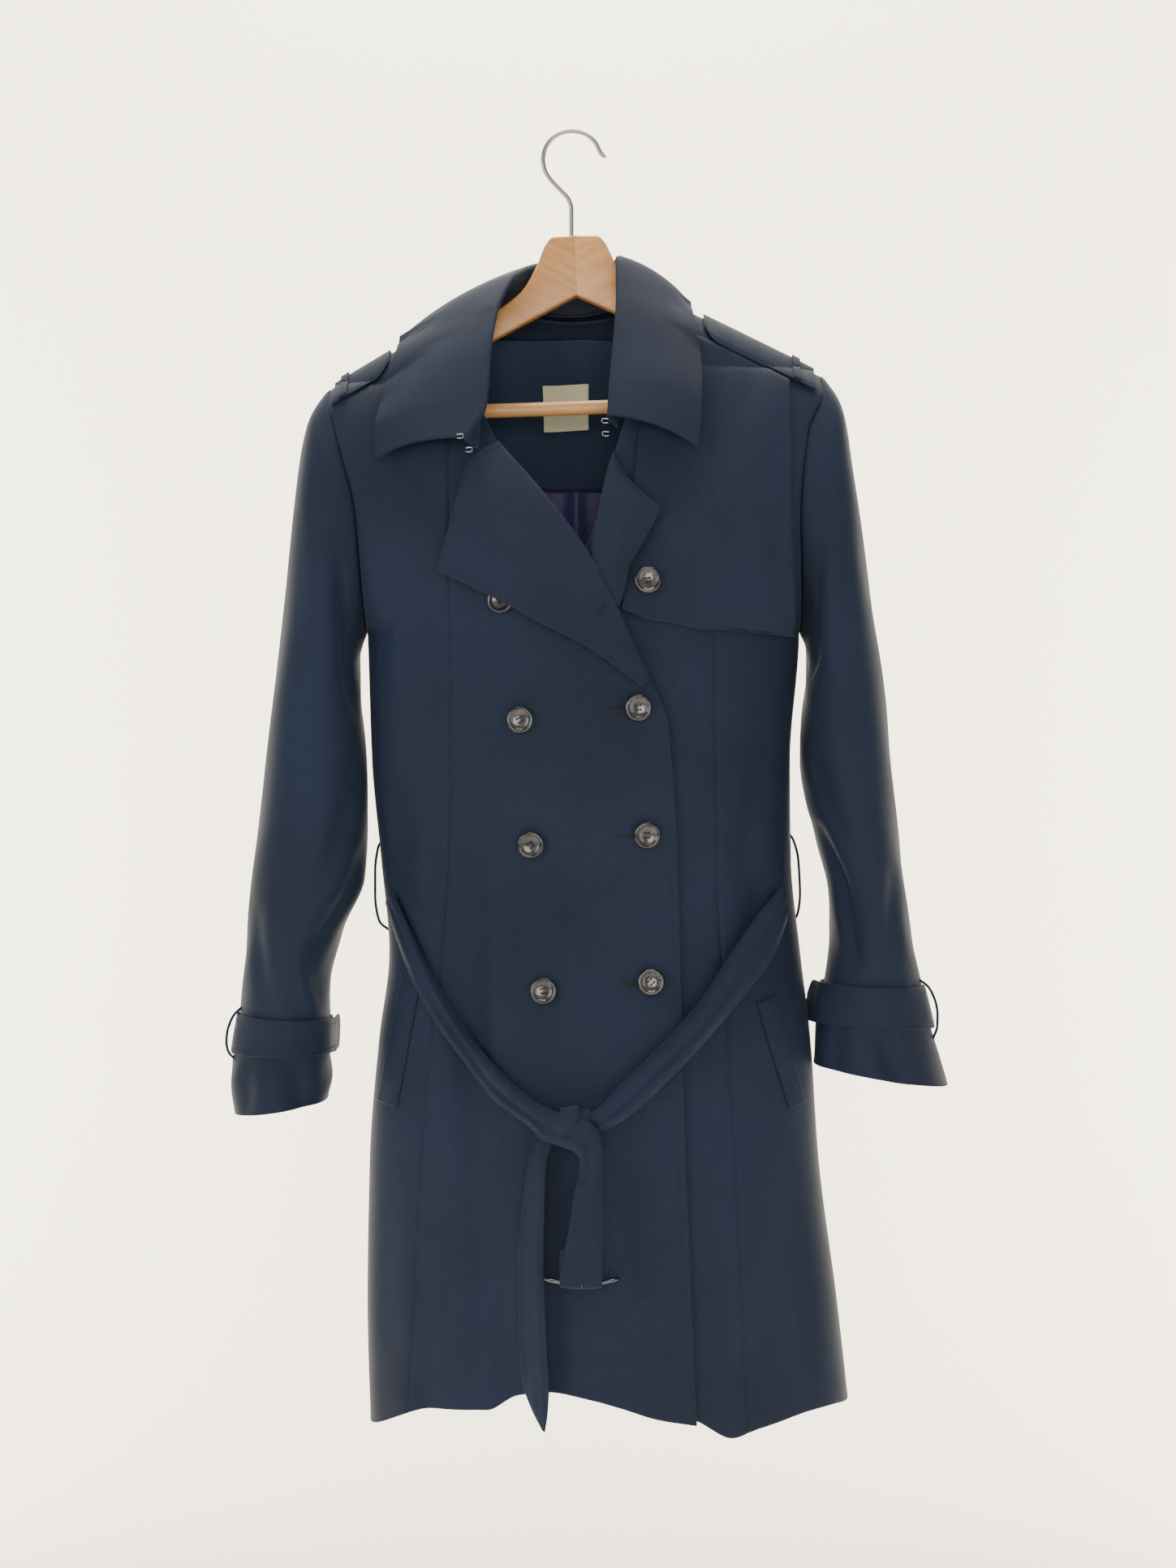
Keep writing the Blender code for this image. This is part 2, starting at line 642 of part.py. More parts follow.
def overlays():
    points, normals = ruled(-1, RIGHT_LAPEL_ROLL, RIGHT_LAPEL_EDGE, 8, 6, OVERLAP_STEP)
    for row in points[:-1]:
        for point, t in zip(row, spaced(6)):
            point.y -= LAPEL_BOW * math.sin(math.pi * t)
    sheet("lapel_right", points, normals, DOUBLE, CLOTH)
    points, normals = ruled(-1, LEFT_LAPEL_ROLL, LEFT_LAPEL_EDGE, 6, 4)
    sheet("lapel_left", points, normals, DOUBLE, CLOTH)
    points, normals = ruled(-1, FLAP_TOP, FLAP_LOW, 10, 10)
    sheet("gun_flap", points, normals, WALL, CLOTH)
    for name, mouth, back in POCKETS:
        points, normals = ruled(-1, mouth, back, 6, 3)
        sheet(name, points, normals, 0.0012, CLOTH)


# ---------------------------------------------------------------- collar
# stations round the neck from its right end to its left end: seam, roll and outer edge
COLLAR = (
    # seam x   y       z       roll x   y       z       edge x   y       z
    (-0.0800, -0.066, -0.2880, -0.0900, -0.074, -0.2820, -0.1660, -0.066, -0.2964),
    (-0.0790, -0.056, -0.2500, -0.0720, -0.066, -0.2500, -0.1670, -0.060, -0.2700),
    (-0.0770, -0.042, -0.2050, -0.0690, -0.054, -0.2050, -0.1620, -0.046, -0.2400),
    (-0.0740, -0.024, -0.1640, -0.0640, -0.038, -0.1680, -0.1530, -0.024, -0.2060),
    (-0.0660, -0.004, -0.1365, -0.0490, -0.011, -0.1300, -0.1480, 0.002, -0.1800),
    (-0.0560, 0.022, -0.1400, -0.0400, 0.016, -0.1180, -0.1240, 0.040, -0.1660),
    (-0.0320, 0.044, -0.1500, -0.0240, 0.042, -0.1080, -0.0700, 0.066, -0.1740),
    (0.0000, 0.050, -0.1520, 0.0020, 0.052, -0.1040, 0.0020, 0.078, -0.1840),
    (0.0320, 0.043, -0.1480, 0.0260, 0.042, -0.1060, 0.0600, 0.066, -0.1680),
    (0.0500, 0.022, -0.1330, 0.0375, 0.018, -0.1110, 0.0860, 0.042, -0.1460),
    (0.0580, -0.004, -0.1290, 0.0390, -0.010, -0.1140, 0.1020, 0.002, -0.1490),
    (0.0570, -0.024, -0.1560, 0.0390, -0.034, -0.1500, 0.1070, -0.030, -0.1760),
    (0.0500, -0.042, -0.2000, 0.0360, -0.054, -0.2000, 0.1120, -0.052, -0.2160),
    (0.0440, -0.056, -0.2350, 0.0330, -0.066, -0.2350, 0.1110, -0.066, -0.2500),
    (0.0400, -0.066, -0.2690, 0.0310, -0.074, -0.2630, 0.1080, -0.074, -0.2880),
)
COLLAR_BULGE = 0.007      # how far the fall bows away from the shoulder
STAND_CLEAR = 0.0034
FALL_CLEAR_RIGHT, FALL_CLEAR_LEFT = 0.0085, 0.0110   # the left side passes over the gun flap


def clear_of_body(point, lift):
    """The point moved off the coat until it stands at least lift away from it."""
    side = -1 if point.y < 0 else 1
    over = OVERLAP_STEP if side < 0 and point.x < 0 else 0.0
    roof = straight(SHOULDER, point.x)
    if point.z < roof:
        face = side * body_point(side, turn_at(point.x, point.z), point.z, over).y
        point.y = side * max(side * point.y, face + lift)
    elif abs(point.y) < 0.012:
        point.z = max(point.z, roof + lift)
    return point


def collar_point(place, part):
    """Point on a station; part is seam 0, roll 3 or edge 6, the first of its three columns."""
    rows = [(k, *row) for k, row in enumerate(COLLAR)]
    return Vector([along(rows, place, 1 + part + axis) for axis in range(3)])


def collar():
    count = 2 * len(COLLAR) - 1
    places = [(len(COLLAR) - 1) * t for t in spaced(count)]
    stand, fall = [], []
    for place in places:
        seam, roll, edge = (collar_point(place, part) for part in (0, 3, 6))
        stand.append([clear_of_body(seam.lerp(roll, u), STAND_CLEAR) for u in (0.0, 0.45, 0.88)])
        away = Vector((edge.x - roll.x, edge.y - roll.y, 0.0)).normalized()
        up = Vector((0.0, 0.0, 1.0))
        start = roll + away * 0.0038 + up * 0.0024
        clear = FALL_CLEAR_RIGHT if roll.x < 0 else FALL_CLEAR_LEFT
        row = []
        for u in spaced(5):
            bow = COLLAR_BULGE * math.sin(math.pi * u) ** 0.8
            bowed = start.lerp(edge, u) + (up * 0.8 + away * 0.35) * bow
            row.append(clear_of_body(bowed, clear))
        fall.append(row)
    sheet("collar_stand", stand, sheet_normals(stand), 0.0016, CLOTH)
    sheet("collar_fall", fall, sheet_normals(fall), 0.0016, CLOTH, flip=True)


# ---------------------------------------------------------------- epaulettes and their carriers
EPAULETTES = (
    # name, neck end x, sleeve end x
    ("right", -0.1580, -0.2060),
    ("left", 0.1150, 0.2110),
)
EPAULETTE_DROPS = ((-1, 0.024), (-1, 0.014), (-1, 0.005), (0, 0.0), (1, 0.005), (1, 0.014), (1, 0.022))


def over_shoulder(x, side, drop, lift):
    z = straight(SHOULDER, x)
    if side == 0:
        outward = -1 if x < 0 else 1
        slope = Vector((0.5 * outward, 0.0, 0.87))
        return Vector((x, 0.0, z)) + slope * lift, slope
    turn = turn_at(x, z - drop)
    normal = body_normal(side, turn, z - drop)
    return body_point(side, turn, z - drop) + normal * lift, normal


def shoulder_strip(name, first, last, columns, lift, thickness, look=CLOTH):
    points, normals = [], []
    for side, drop in EPAULETTE_DROPS:
        pairs = [over_shoulder(first + (last - first) * t, side, drop, lift) for t in spaced(columns)]
        points.append([pair[0] for pair in pairs])
        normals.append([pair[1] for pair in pairs])
    sheet(name, points, normals, thickness, look)


def epaulettes():
    for name, neck_end, sleeve_end in EPAULETTES:
        lift = 0.0075 if name == "left" else 0.0040
        shoulder_strip("epaulette_" + name, neck_end, sleeve_end, 6, lift, DOUBLE)
        carrier = sleeve_end - (sleeve_end - neck_end) * 0.14
        width = 0.006 if sleeve_end > 0 else -0.006
        shoulder_strip("epaulette_carrier_" + name, carrier - width, carrier, 2, lift + 0.0022, 0.0014)


# ---------------------------------------------------------------- cuff straps
CUFF_STRAPS = (
    # arm, top place, low place, start angle, turn in degrees
    ("right", 8.85, 9.95, 200.0, 386.0),
    ("left", 10.05, 11.0, 168.0, 388.0),
)
STRAP_LIFT = 0.0028


def cuff_straps():
    for arm, top, low, start, sweep in CUFF_STRAPS:
        points, normals = [], []
        count = 22
        for t in spaced(count):
            angle = math.radians(start + sweep * t)
            lift = STRAP_LIFT + 0.0034 * smooth_step((sweep * t - 330) / 30)
            taper = 0.5 * smooth_step((t - 0.965) / 0.035)
            row, turned = [], []
            for u in (taper, 0.5, 1 - taper):
                place = top + (low - top) * u
                normal = sleeve_normal(arm, place, angle)
                row.append(sleeve_point(arm, place, angle) + normal * lift)
                turned.append(normal)
            points.append(row)
            normals.append(turned)
        sheet("cuff_strap_" + arm, points, normals, WALL, CLOTH)
        outer = []
        for k in range(7):
            t = k / 6
            place = top - 0.22 + (low - top + 0.44) * t
            lift = STRAP_LIFT + 0.0026 + 0.004 * math.sin(math.pi * t)
            outer.append(sleeve_point(arm, place, math.radians(18)) +
                         sleeve_normal(arm, place, math.radians(18)) * lift)
        wire("cuff_carrier_" + arm, outer, 0.0011, CLOTH, 13, 1)


# ---------------------------------------------------------------- inside of the neck
FACING_TOP, FACING_LOW = -0.164, -0.306
LINING_LOW = -0.440


def neck_inside():
    for name, top, low, half, look in (
            ("neck_facing", FACING_TOP, FACING_LOW, 0.082, CLOTH),
            ("back_lining", FACING_LOW - GAP, LINING_LOW, 0.088, LINING)):
        heights = (top - 0.010, (top + low) / 2, low)
        depths = (-0.0080, -0.0048, -0.0040) if name == "neck_facing" else (-0.0040, -0.0040, -0.0040)
        first = [(-half, z, depth) for z, depth in zip(heights, depths)]
        last = [(half, z, depth) for z, depth in zip(heights, depths)]
        points, normals = ruled(1, first, last, 5, 7)
        sheet(name, points, normals, 0.0010, look)
    corners = ((-0.0265, -0.2210), (0.0145, -0.2190), (0.0155, -0.2620), (-0.0255, -0.2640))
    (ax, az), (bx, bz), (cx, cz), (dx, dz) = corners
    first, last = ((ax, az, -0.0078), (dx, dz, -0.0074)), ((bx, bz, -0.0078), (cx, cz, -0.0074))
    points, normals = ruled(1, first, last, 3, 3)
    sheet("label", points, normals, 0.0006, LABEL)


# ---------------------------------------------------------------- belt
KNOT = Vector((0.007, -0.1180, -0.8590))
# runs across the front: upper edge, lower edge and how far the crease between them stands off
RIGHT_RUN = (
    # x up    z up     x low    z low    crease
    (-0.1530, -0.668, -0.1630, -0.676, 0.0040),
    (-0.1418, -0.6905, -0.1540, -0.700, 0.0065),
    (-0.1150, -0.7406, -0.1330, -0.7480, 0.0090),
    (-0.0813, -0.7908, -0.0985, -0.7990, 0.0110),
    (-0.0480, -0.8260, -0.0640, -0.8400, 0.0140),
    (-0.0150, -0.8420, -0.0240, -0.8620, 0.0200),
)
LEFT_RUN = (
    (0.1830, -0.6600, 0.1850, -0.6900, 0.0040),
    (0.1640, -0.6800, 0.1730, -0.7180, 0.0070),
    (0.1339, -0.7207, 0.1480, -0.7500, 0.0100),
    (0.1119, -0.7537, 0.1220, -0.7790, 0.0120),
    (0.0768, -0.7922, 0.0900, -0.8130, 0.0140),
    (0.0360, -0.8330, 0.0440, -0.8550, 0.0200),
)
# ends below the knot: left and right edge with how far each lies from the coat
PLAIN_END = (
    # z       x left   out     x right  out
    (-0.8830, -0.0290, 0.0180, -0.0190, 0.0240),
    (-0.9100, -0.0350, 0.0100, -0.0220, 0.0240),
    (-0.9750, -0.0450, 0.0070, -0.0250, 0.0230),
    (-1.0400, -0.0430, 0.0060, -0.0205, 0.0220),
    (-1.0800, -0.0400, 0.0060, -0.0180, 0.0210),
    (-1.1140, -0.0240, 0.0130, -0.0220, 0.0150),
)


def belt_run(name, rows):
    points = []
    for t in spaced(10):
        up_x, up_z, low_x, low_z, crease = (
            along([(k / (len(rows) - 1), *row) for k, row in enumerate(rows)], t, c) for c in range(1, 6))
        over = OVERLAP_STEP
        edge = 0.0062 + 0.012 * smooth_step((t - 0.75) / 0.25)
        row = []
        for u in spaced(5):
            lift = edge + crease * math.sin(math.pi * u) ** 0.8
            row.append(on_body(-1, up_x + (low_x - up_x) * u, up_z + (low_z - up_z) * u, lift, over))
        points.append(row)
    sheet(name, points, sheet_normals(points), DOUBLE, CLOTH, flip=points[0][0].x > 0)


def belt():
    belt_run("belt_run_right", RIGHT_RUN)
    belt_run("belt_run_left", LEFT_RUN)

    points, normals = [], []
    for t in spaced(15):
        x = -0.1635 + (0.1925 + 0.1635) * (1 - math.cos(math.pi * t)) / 2
        sag = -0.012 * math.sin(math.pi * t)
        pinch = 0.010 * (1 - math.sin(math.pi * t) ** 0.5)
        row, turned = [], []
        for u in (0.0, 0.5, 1.0):
            z = -0.6690 + sag - pinch / 2 - (BELT_WIDTH - pinch) * u
            turn = turn_at(x, z)
            normal = body_normal(1, turn, z)
            row.append(body_point(1, turn, z) + normal * 0.0045)
            turned.append(normal)
        points.append(row)
        normals.append(turned)
    sheet("belt_back", points, normals, DOUBLE, CLOTH)

    rings = []
    for k in range(7):
        across = -1 + 2 * k / 6
        swell = math.sqrt(max(0.08, 1 - across * across * 0.92))
        centre = KNOT + Vector((0.015, 0.0, 0.013)) * across
        ring = []
        for j in range(12):
            angle = 2 * math.pi * j / 12
            ring.append(centre + Vector((-0.0115 * math.cos(angle), -0.0130 * math.sin(angle),
                                         0.0135 * math.cos(angle))) * swell)
        rings.append(ring)
    loft("belt_knot", rings, CLOTH)

    points = []
    for t in spaced(10):
        z = PLAIN_END[0][0] + (PLAIN_END[-1][0] - PLAIN_END[0][0]) * t
        x0, out0, x1, out1 = (along(PLAIN_END, z, c) for c in range(1, 5))
        row = []
        for u in spaced(3):
            x = x0 + (x1 - x0) * u
            face = on_body(-1, x, max(z, -1.08), 0.0, OVERLAP_STEP)
            row.append(Vector((x, face.y - (out0 + (out1 - out0) * u), z)))
        points.append(row)
    sheet("belt_end_plain", points, sheet_normals(points), DOUBLE, CLOTH)


# buckle end: hangs from the knot and folds round the buckle's bar
BAR = Vector((0.0095, -0.1360, -0.9790))
BAR_RADIUS = 0.0017
BUCKLE_WIDTH, BUCKLE_HEIGHT, BUCKLE_BOW = 0.060, 0.036, 0.0045
BUCKLE_PITCH = math.radians(11.5)    # the frame leans back and down towards the coat
LOOP_RADIUS = BAR_RADIUS + 0.0007
BUCKLE_END = (
    # z       x left   x right  y
    (-0.8830, 0.0060, 0.0260, -0.1235),
    (-0.9000, 0.0070, 0.0275, -0.1240),
    (-0.9350, 0.0010, 0.0275, -0.1310),
    (-0.9600, -0.0040, 0.0265, -0.1350),
    (-0.9770, -0.0080, 0.0260, -0.1360),
)


def bar_sag(x):
    reach = (x - BAR.x) / (BUCKLE_WIDTH / 2)
    return -BUCKLE_BOW * (1 - reach * reach)


def buckle_end():
    points = []
    for z in (-0.8830, -0.9000, -0.9180, -0.9350, -0.9520, -0.9650):
        x0, x1, y = (along(BUCKLE_END, z, c) for c in (1, 2, 3))
        points.append([Vector((x0 + (x1 - x0) * u, y - LOOP_RADIUS * smooth_step((-0.935 - z) / 0.03), z))
                       for u in spaced(7)])
    x0, x1 = -0.0100, 0.0260
    outer = LOOP_RADIUS + DOUBLE
    for degrees in range(0, 181, 36):
        angle = math.radians(degrees)
        row = []
        for u in spaced(7):
            x = x0 + (x1 - x0) * u
            z = BAR.z + bar_sag(x) - outer * math.sin(angle)
            row.append(Vector((x, BAR.y - outer * math.cos(angle), z)))
        points.append(row)
    for z in (-0.9700, -0.9560):
        points.append([Vector((x0 + (x1 - x0) * u, BAR.y + outer + (0.0006 if z > -0.96 else 0.0), z))
                       for u in spaced(7)])
    made = sheet("belt_end_buckle", points, sheet_normals(points), DOUBLE, CLOTH)
    slot = box_cutter("prong_slot", Vector((BAR.x, BAR.y + 0.002, BAR.z - 0.0045)), (0.0062, 0.016, 0.0150))
    cut = made.modifiers.new("slot", "BOOLEAN")
    cut.operation = "DIFFERENCE"
    cut.object = slot


def box_cutter(name, centre, size):
    bm = bmesh.new()
    bmesh.ops.create_cube(bm, size=1.0, matrix=Matrix.Translation(centre) @ Matrix.Diagonal((*size, 1.0)))
    made = finish(name, bm, STEEL)
    made.hide_render = True
    made.display_type = "WIRE"
    return made


def buckle():
    """A bowed rectangular frame; its front bar lies in the fold and a prong turns on it."""
    back = Vector((0.0, math.cos(BUCKLE_PITCH), -math.sin(BUCKLE_PITCH)))
    down = Vector((0.0, -math.sin(BUCKLE_PITCH), -math.cos(BUCKLE_PITCH)))
    half_width, corner = BUCKLE_WIDTH / 2, 0.007
    path = [Vector((x, 0.0)) for x in (-half_width + corner, -0.012, 0.0, 0.012, half_width - corner)]
    side = [Vector((half_width - corner * (1 - math.sin(a)), corner * (1 - math.cos(a))))
            for a in (math.radians(40), math.radians(90))]
    quarter = path + side
    loop = quarter + [Vector((p.x, BUCKLE_HEIGHT - p.y)) for p in reversed(quarter)]
    loop += [Vector((-p.x, BUCKLE_HEIGHT - p.y)) for p in side]
    loop += [Vector((-p.x, p.y)) for p in reversed(side)]
    centres = [BAR + Vector((p.x, 0.0, 0.0)) + back * p.y + Vector((0.0, 0.0, bar_sag(BAR.x + p.x)))
               for p in loop]
    bm = bmesh.new()
    rings = []
    count = len(centres)
    for k, centre in enumerate(centres):
        tangent = (centres[(k + 1) % count] - centres[k - 1]).normalized()
        inward = tangent.cross(down).normalized()
        upright = inward.cross(tangent).normalized()
        rings.append([bm.verts.new(centre + (inward * math.cos(a) + upright * math.sin(a)) * BAR_RADIUS)
                      for a in (2 * math.pi * j / 8 for j in range(8))])
    for k in range(count):
        low, high = rings[k], rings[(k + 1) % count]
        for j in range(8):
            bm.faces.new((low[j], low[(j + 1) % 8], high[(j + 1) % 8], high[j]))
    finish("buckle_frame", bm, STEEL)


PRONG_PIVOT = BAR + Vector((0.0, 0.0, -BUCKLE_BOW))
PRONG_LENGTH = 0.038
PRONG_RADIUS = 0.0010
PRONG_DROP = math.radians(20.0)


def prong():
    """An eye round the bar and a straight tongue under the frame, its origin on the bar's axis."""
    inner, outer, half = BAR_RADIUS + 0.0004, BAR_RADIUS + 0.0024, 0.0016
    bm = bmesh.new()
    sides = 12
    start, open_angle = -PRONG_DROP, 2 * math.pi
    rings = []
    for k in range(sides):
        angle = start + open_angle * k / sides
        radial = Vector((0.0, math.cos(angle), math.sin(angle)))
        rings.append([bm.verts.new(Vector((x, 0.0, 0.0)) + radial * r)
                      for x, r in ((-half, inner), (-half, outer), (half, outer), (half, inner))])
    for k in range(sides):
        low, high = rings[k], rings[(k + 1) % sides]
        for j in range(4):
            bm.faces.new((low[j], low[(j + 1) % 4], high[(j + 1) % 4], high[j]))
    eye = finish("prong_eye", bm, STEEL)
    along_y = Vector((0.0, math.cos(PRONG_DROP), -math.sin(PRONG_DROP)))
    across = Vector((1.0, 0.0, 0.0))
    up = along_y.cross(across)
    bm = bmesh.new()
    rings = []
    for reach, radius in (
            (inner + 0.0006, PRONG_RADIUS), (0.020, PRONG_RADIUS), (PRONG_LENGTH - 0.003, PRONG_RADIUS),
            (PRONG_LENGTH, 0.0005)):
        rings.append([bm.verts.new(along_y * reach + (across * math.cos(a) + up * math.sin(a)) * radius)
                      for a in (2 * math.pi * j / 8 for j in range(8))])
    for low, high in zip(rings, rings[1:]):
        for j in range(8):
            bm.faces.new((low[j], low[(j + 1) % 8], high[(j + 1) % 8], high[j]))
    bm.faces.new(rings[0])
    bm.faces.new(rings[-1])
    tongue = finish("buckle_prong", bm, STEEL)
    join = tongue.modifiers.new("eye", "BOOLEAN")
    join.operation = "UNION"
    join.object = eye
    eye.hide_render = True
    eye.display_type = "WIRE"
    for part in (eye, tongue):
        part.location = PRONG_PIVOT


# ---------------------------------------------------------------- thread loops, buttons, hooks
BELT_LOOPS = (
    # name, knots from the top of the loop to its foot
    ("belt_loop_right", ((-0.1712, -0.002, -0.6200), (-0.1740, -0.002, -0.6350), (-0.1755, -0.002, -0.6600),
                         (-0.1740, -0.002, -0.6900), (-0.1700, -0.002, -0.7120), (-0.1640, -0.002, -0.7200))),
    ("belt_loop_left", ((0.1945, -0.002, -0.6120), (0.1990, -0.002, -0.6250), (0.2045, -0.002, -0.6600),
                        (0.2065, -0.002, -0.6900), (0.2070, -0.002, -0.7120), (0.2045, -0.002, -0.7200))),
)
BUTTON_PROFILE = (
    # radius  height
    (0.0000, 0.0000), (0.0080, 0.0000), (0.0108, 0.0012), (0.0114, 0.0026), (0.0108, 0.0038),
    (0.0094, 0.0042), (0.0080, 0.0036), (0.0072, 0.0026), (0.0000, 0.0024),
)
BUTTONS = (
    # name, x, z, lift off the cloth, step of the front it is sewn to
    ("button_1_right", -0.0589, -0.4177, 0.0008, OVERLAP_STEP),
    ("button_flap", 0.0648, -0.4020, 0.0062, 0.0),
    ("button_2_right", -0.0425, -0.5189, 0.0008, OVERLAP_STEP),
    ("button_2_left", 0.0566, -0.5086, 0.0008, OVERLAP_STEP),
    ("button_3_right", -0.0336, -0.6242, 0.0008, OVERLAP_STEP),
    ("button_3_left", 0.0642, -0.6160, 0.0008, OVERLAP_STEP),
    ("button_4_right", -0.0227, -0.7479, 0.0008, OVERLAP_STEP),
    ("button_4_left", 0.0676, -0.7404, 0.0008, OVERLAP_STEP),
)


def buttons():
    for name, x, z, lift, over in BUTTONS:
        base = on_body(-1, x, z, lift, over)
        outward = body_normal(-1, turn_at(x, z), z, over)
        across = outward.cross(Vector((0.0, 0.0, 1.0))).normalized()
        up = across.cross(outward)
        bm = bmesh.new()
        sides = 16
        rings = []
        for radius, height in BUTTON_PROFILE:
            centre = base + outward * (height + 0.0006)
            if radius == 0:
                rings.append([bm.verts.new(centre)] * sides)
            else:
                rings.append([bm.verts.new(centre + (across * math.cos(a) + up * math.sin(a)) * radius)
                              for a in (2 * math.pi * k / sides for k in range(sides))])
        for low, high in zip(rings, rings[1:]):
            for j in range(sides):
                k = (j + 1) % sides
                corners = [low[j], low[k], high[k], high[j]]
                bm.faces.new(list(dict.fromkeys(corners)))
        finish(name, bm, BUTTON)


COLLAR_HOOKS = (
    # name, x, y, z, the way it points
    ("collar_hook_upper", -0.0935, -0.0800, -0.2790, 1),
    ("collar_hook_lower", -0.0860, -0.0800, -0.2905, 1),
    ("collar_eye_upper", 0.0290, -0.0800, -0.2660, -1),
    ("collar_eye_lower", 0.0295, -0.0800, -0.2770, -1),
)


def collar_hooks():
    for name, x, y, z, way in COLLAR_HOOKS:
        knots = [Vector((x + way * dx, y + dy, z + dz)) for dx, dy, dz in
                 ((-0.0030, 0.0, 0.0020), (0.0010, 0.0, 0.0026), (0.0036, -0.0012, 0.0010),
                  (0.0034, -0.0014, -0.0010), (0.0008, 0.0, -0.0026), (-0.0030, 0.0, -0.0022))]
        wire(name, knots, 0.0005, STEEL, 13, 1)


def belt_loops():
    for name, knots in BELT_LOOPS:
        wire(name, [Vector(knot) for knot in knots], 0.0009, CLOTH, 14, 1)


def main():
    hanger()
    body_panels()
    sleeves()
    overlays()
    collar()
    epaulettes()
    cuff_straps()
    neck_inside()
    belt()
    buckle_end()
    buckle()
    prong()
    belt_loops()
    buttons()
    collar_hooks()


main()
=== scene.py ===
"""Navy trench coat hanging open at the neck on a beech hanger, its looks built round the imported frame."""
import math

import bpy
import numpy as np
from mathutils import Matrix, Vector


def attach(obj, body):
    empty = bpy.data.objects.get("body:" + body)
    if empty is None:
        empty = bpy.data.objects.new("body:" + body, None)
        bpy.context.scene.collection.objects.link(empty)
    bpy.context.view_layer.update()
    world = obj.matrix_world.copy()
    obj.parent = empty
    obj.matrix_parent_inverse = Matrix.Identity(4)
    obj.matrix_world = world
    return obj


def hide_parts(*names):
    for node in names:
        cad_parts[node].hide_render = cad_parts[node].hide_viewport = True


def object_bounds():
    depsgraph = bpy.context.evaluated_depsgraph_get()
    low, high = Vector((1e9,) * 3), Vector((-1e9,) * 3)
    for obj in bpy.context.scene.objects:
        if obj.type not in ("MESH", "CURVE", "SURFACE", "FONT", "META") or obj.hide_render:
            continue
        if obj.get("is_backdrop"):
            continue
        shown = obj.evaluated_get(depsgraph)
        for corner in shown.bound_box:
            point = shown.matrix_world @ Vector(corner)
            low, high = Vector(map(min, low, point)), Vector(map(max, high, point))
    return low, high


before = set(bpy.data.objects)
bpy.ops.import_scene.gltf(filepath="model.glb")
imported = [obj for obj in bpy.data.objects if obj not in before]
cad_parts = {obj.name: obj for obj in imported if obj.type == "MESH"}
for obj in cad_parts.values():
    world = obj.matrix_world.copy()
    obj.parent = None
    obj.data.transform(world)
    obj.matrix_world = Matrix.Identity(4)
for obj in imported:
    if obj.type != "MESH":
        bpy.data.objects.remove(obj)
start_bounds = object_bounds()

# ---------------------------------------------------------------- fronts, side fronts and back
# Gabardine shell of the coat: two fronts, two side fronts and the back, sewn at the princess,
# side and shoulder seams. The right front laps over the left one. Each panel is a thin shell on
# its solid's form, with the main creases given one by one.
BODY = (
    # z       left    right   front  back
    (-0.140, -0.213, 0.220, 0.020, 0.034),
    (-0.180, -0.213, 0.220, 0.031, 0.046),
    (-0.226, -0.213, 0.220, 0.042, 0.054),
    (-0.270, -0.203, 0.204, 0.053, 0.058),
    (-0.343, -0.185, 0.197, 0.068, 0.060),
    (-0.440, -0.179, 0.200, 0.079, 0.057),
    (-0.554, -0.175, 0.192, 0.079, 0.050),
    (-0.640, -0.167, 0.193, 0.073, 0.045),
    (-0.720, -0.160, 0.201, 0.074, 0.048),
    (-0.797, -0.169, 0.210, 0.082, 0.056),
    (-0.900, -0.177, 0.217, 0.088, 0.062),
    (-1.024, -0.179, 0.233, 0.092, 0.068),
    (-1.140, -0.176, 0.246, 0.094, 0.072),
)
SHOULDER = (
    # x       z
    (-0.213, -0.226),
    (-0.072, -0.143),
    (0.064, -0.138),
    (0.220, -0.214),
)
RIGHT_EDGE = (
    # z       x
    (-0.140, -0.072), (-0.180, -0.074), (-0.240, -0.078), (-0.281, -0.063), (-0.330, -0.024), (-0.376, 0.010),
    (-0.423, 0.037), (-0.490, 0.070), (-0.520, 0.082), (-0.652, 0.091), (-0.860, 0.096), (-1.140, 0.107),
)
LEFT_EDGE = (
    # z       x
    (-0.138, 0.064), (-0.180, 0.060), (-0.240, 0.052), (-0.292, 0.037), (-0.335, 0.028), (-0.376, 0.010),
    (-0.423, -0.018), (-0.490, -0.050), (-0.540, -0.060), (-0.860, -0.058), (-1.140, -0.046),
)
RIGHT_SEAM = ((-0.140, -0.106), (-0.527, -0.103), (-0.673, -0.107), (-0.835, -0.124), (-1.140, -0.140))
LEFT_SEAM = ((-0.140, 0.122), (-0.477, 0.123), (-0.665, 0.126), (-0.819, 0.136), (-1.140, 0.150))
BACK_SEAM = ((-0.140, 0.002), (-0.477, 0.005), (-0.665, 0.009), (-0.819, 0.015), (-1.140, 0.030))
RIGHT_HEM = (
    # x       z
    (-0.178, -1.130), (-0.120, -1.103), (-0.070, -1.100), (-0.044, -1.087),
    (-0.018, -1.083), (0.018, -1.089), (0.071, -1.105), (0.110, -1.112),
)
LEFT_HEM = (
    # x       z
    (-0.050, -1.084), (0.018, -1.085), (0.105, -1.108), (0.135, -1.123),
    (0.159, -1.116), (0.225, -1.106), (0.246, -1.110),
)
BACK_HEM = ((-0.178, -1.130), (-0.080, -1.104), (0.020, -1.098), (0.130, -1.106), (0.246, -1.110))
BACK_NECK = ((-0.072, -0.143), (-0.045, -0.154), (0.0, -0.159), (0.045, -0.153), (0.064, -0.138))
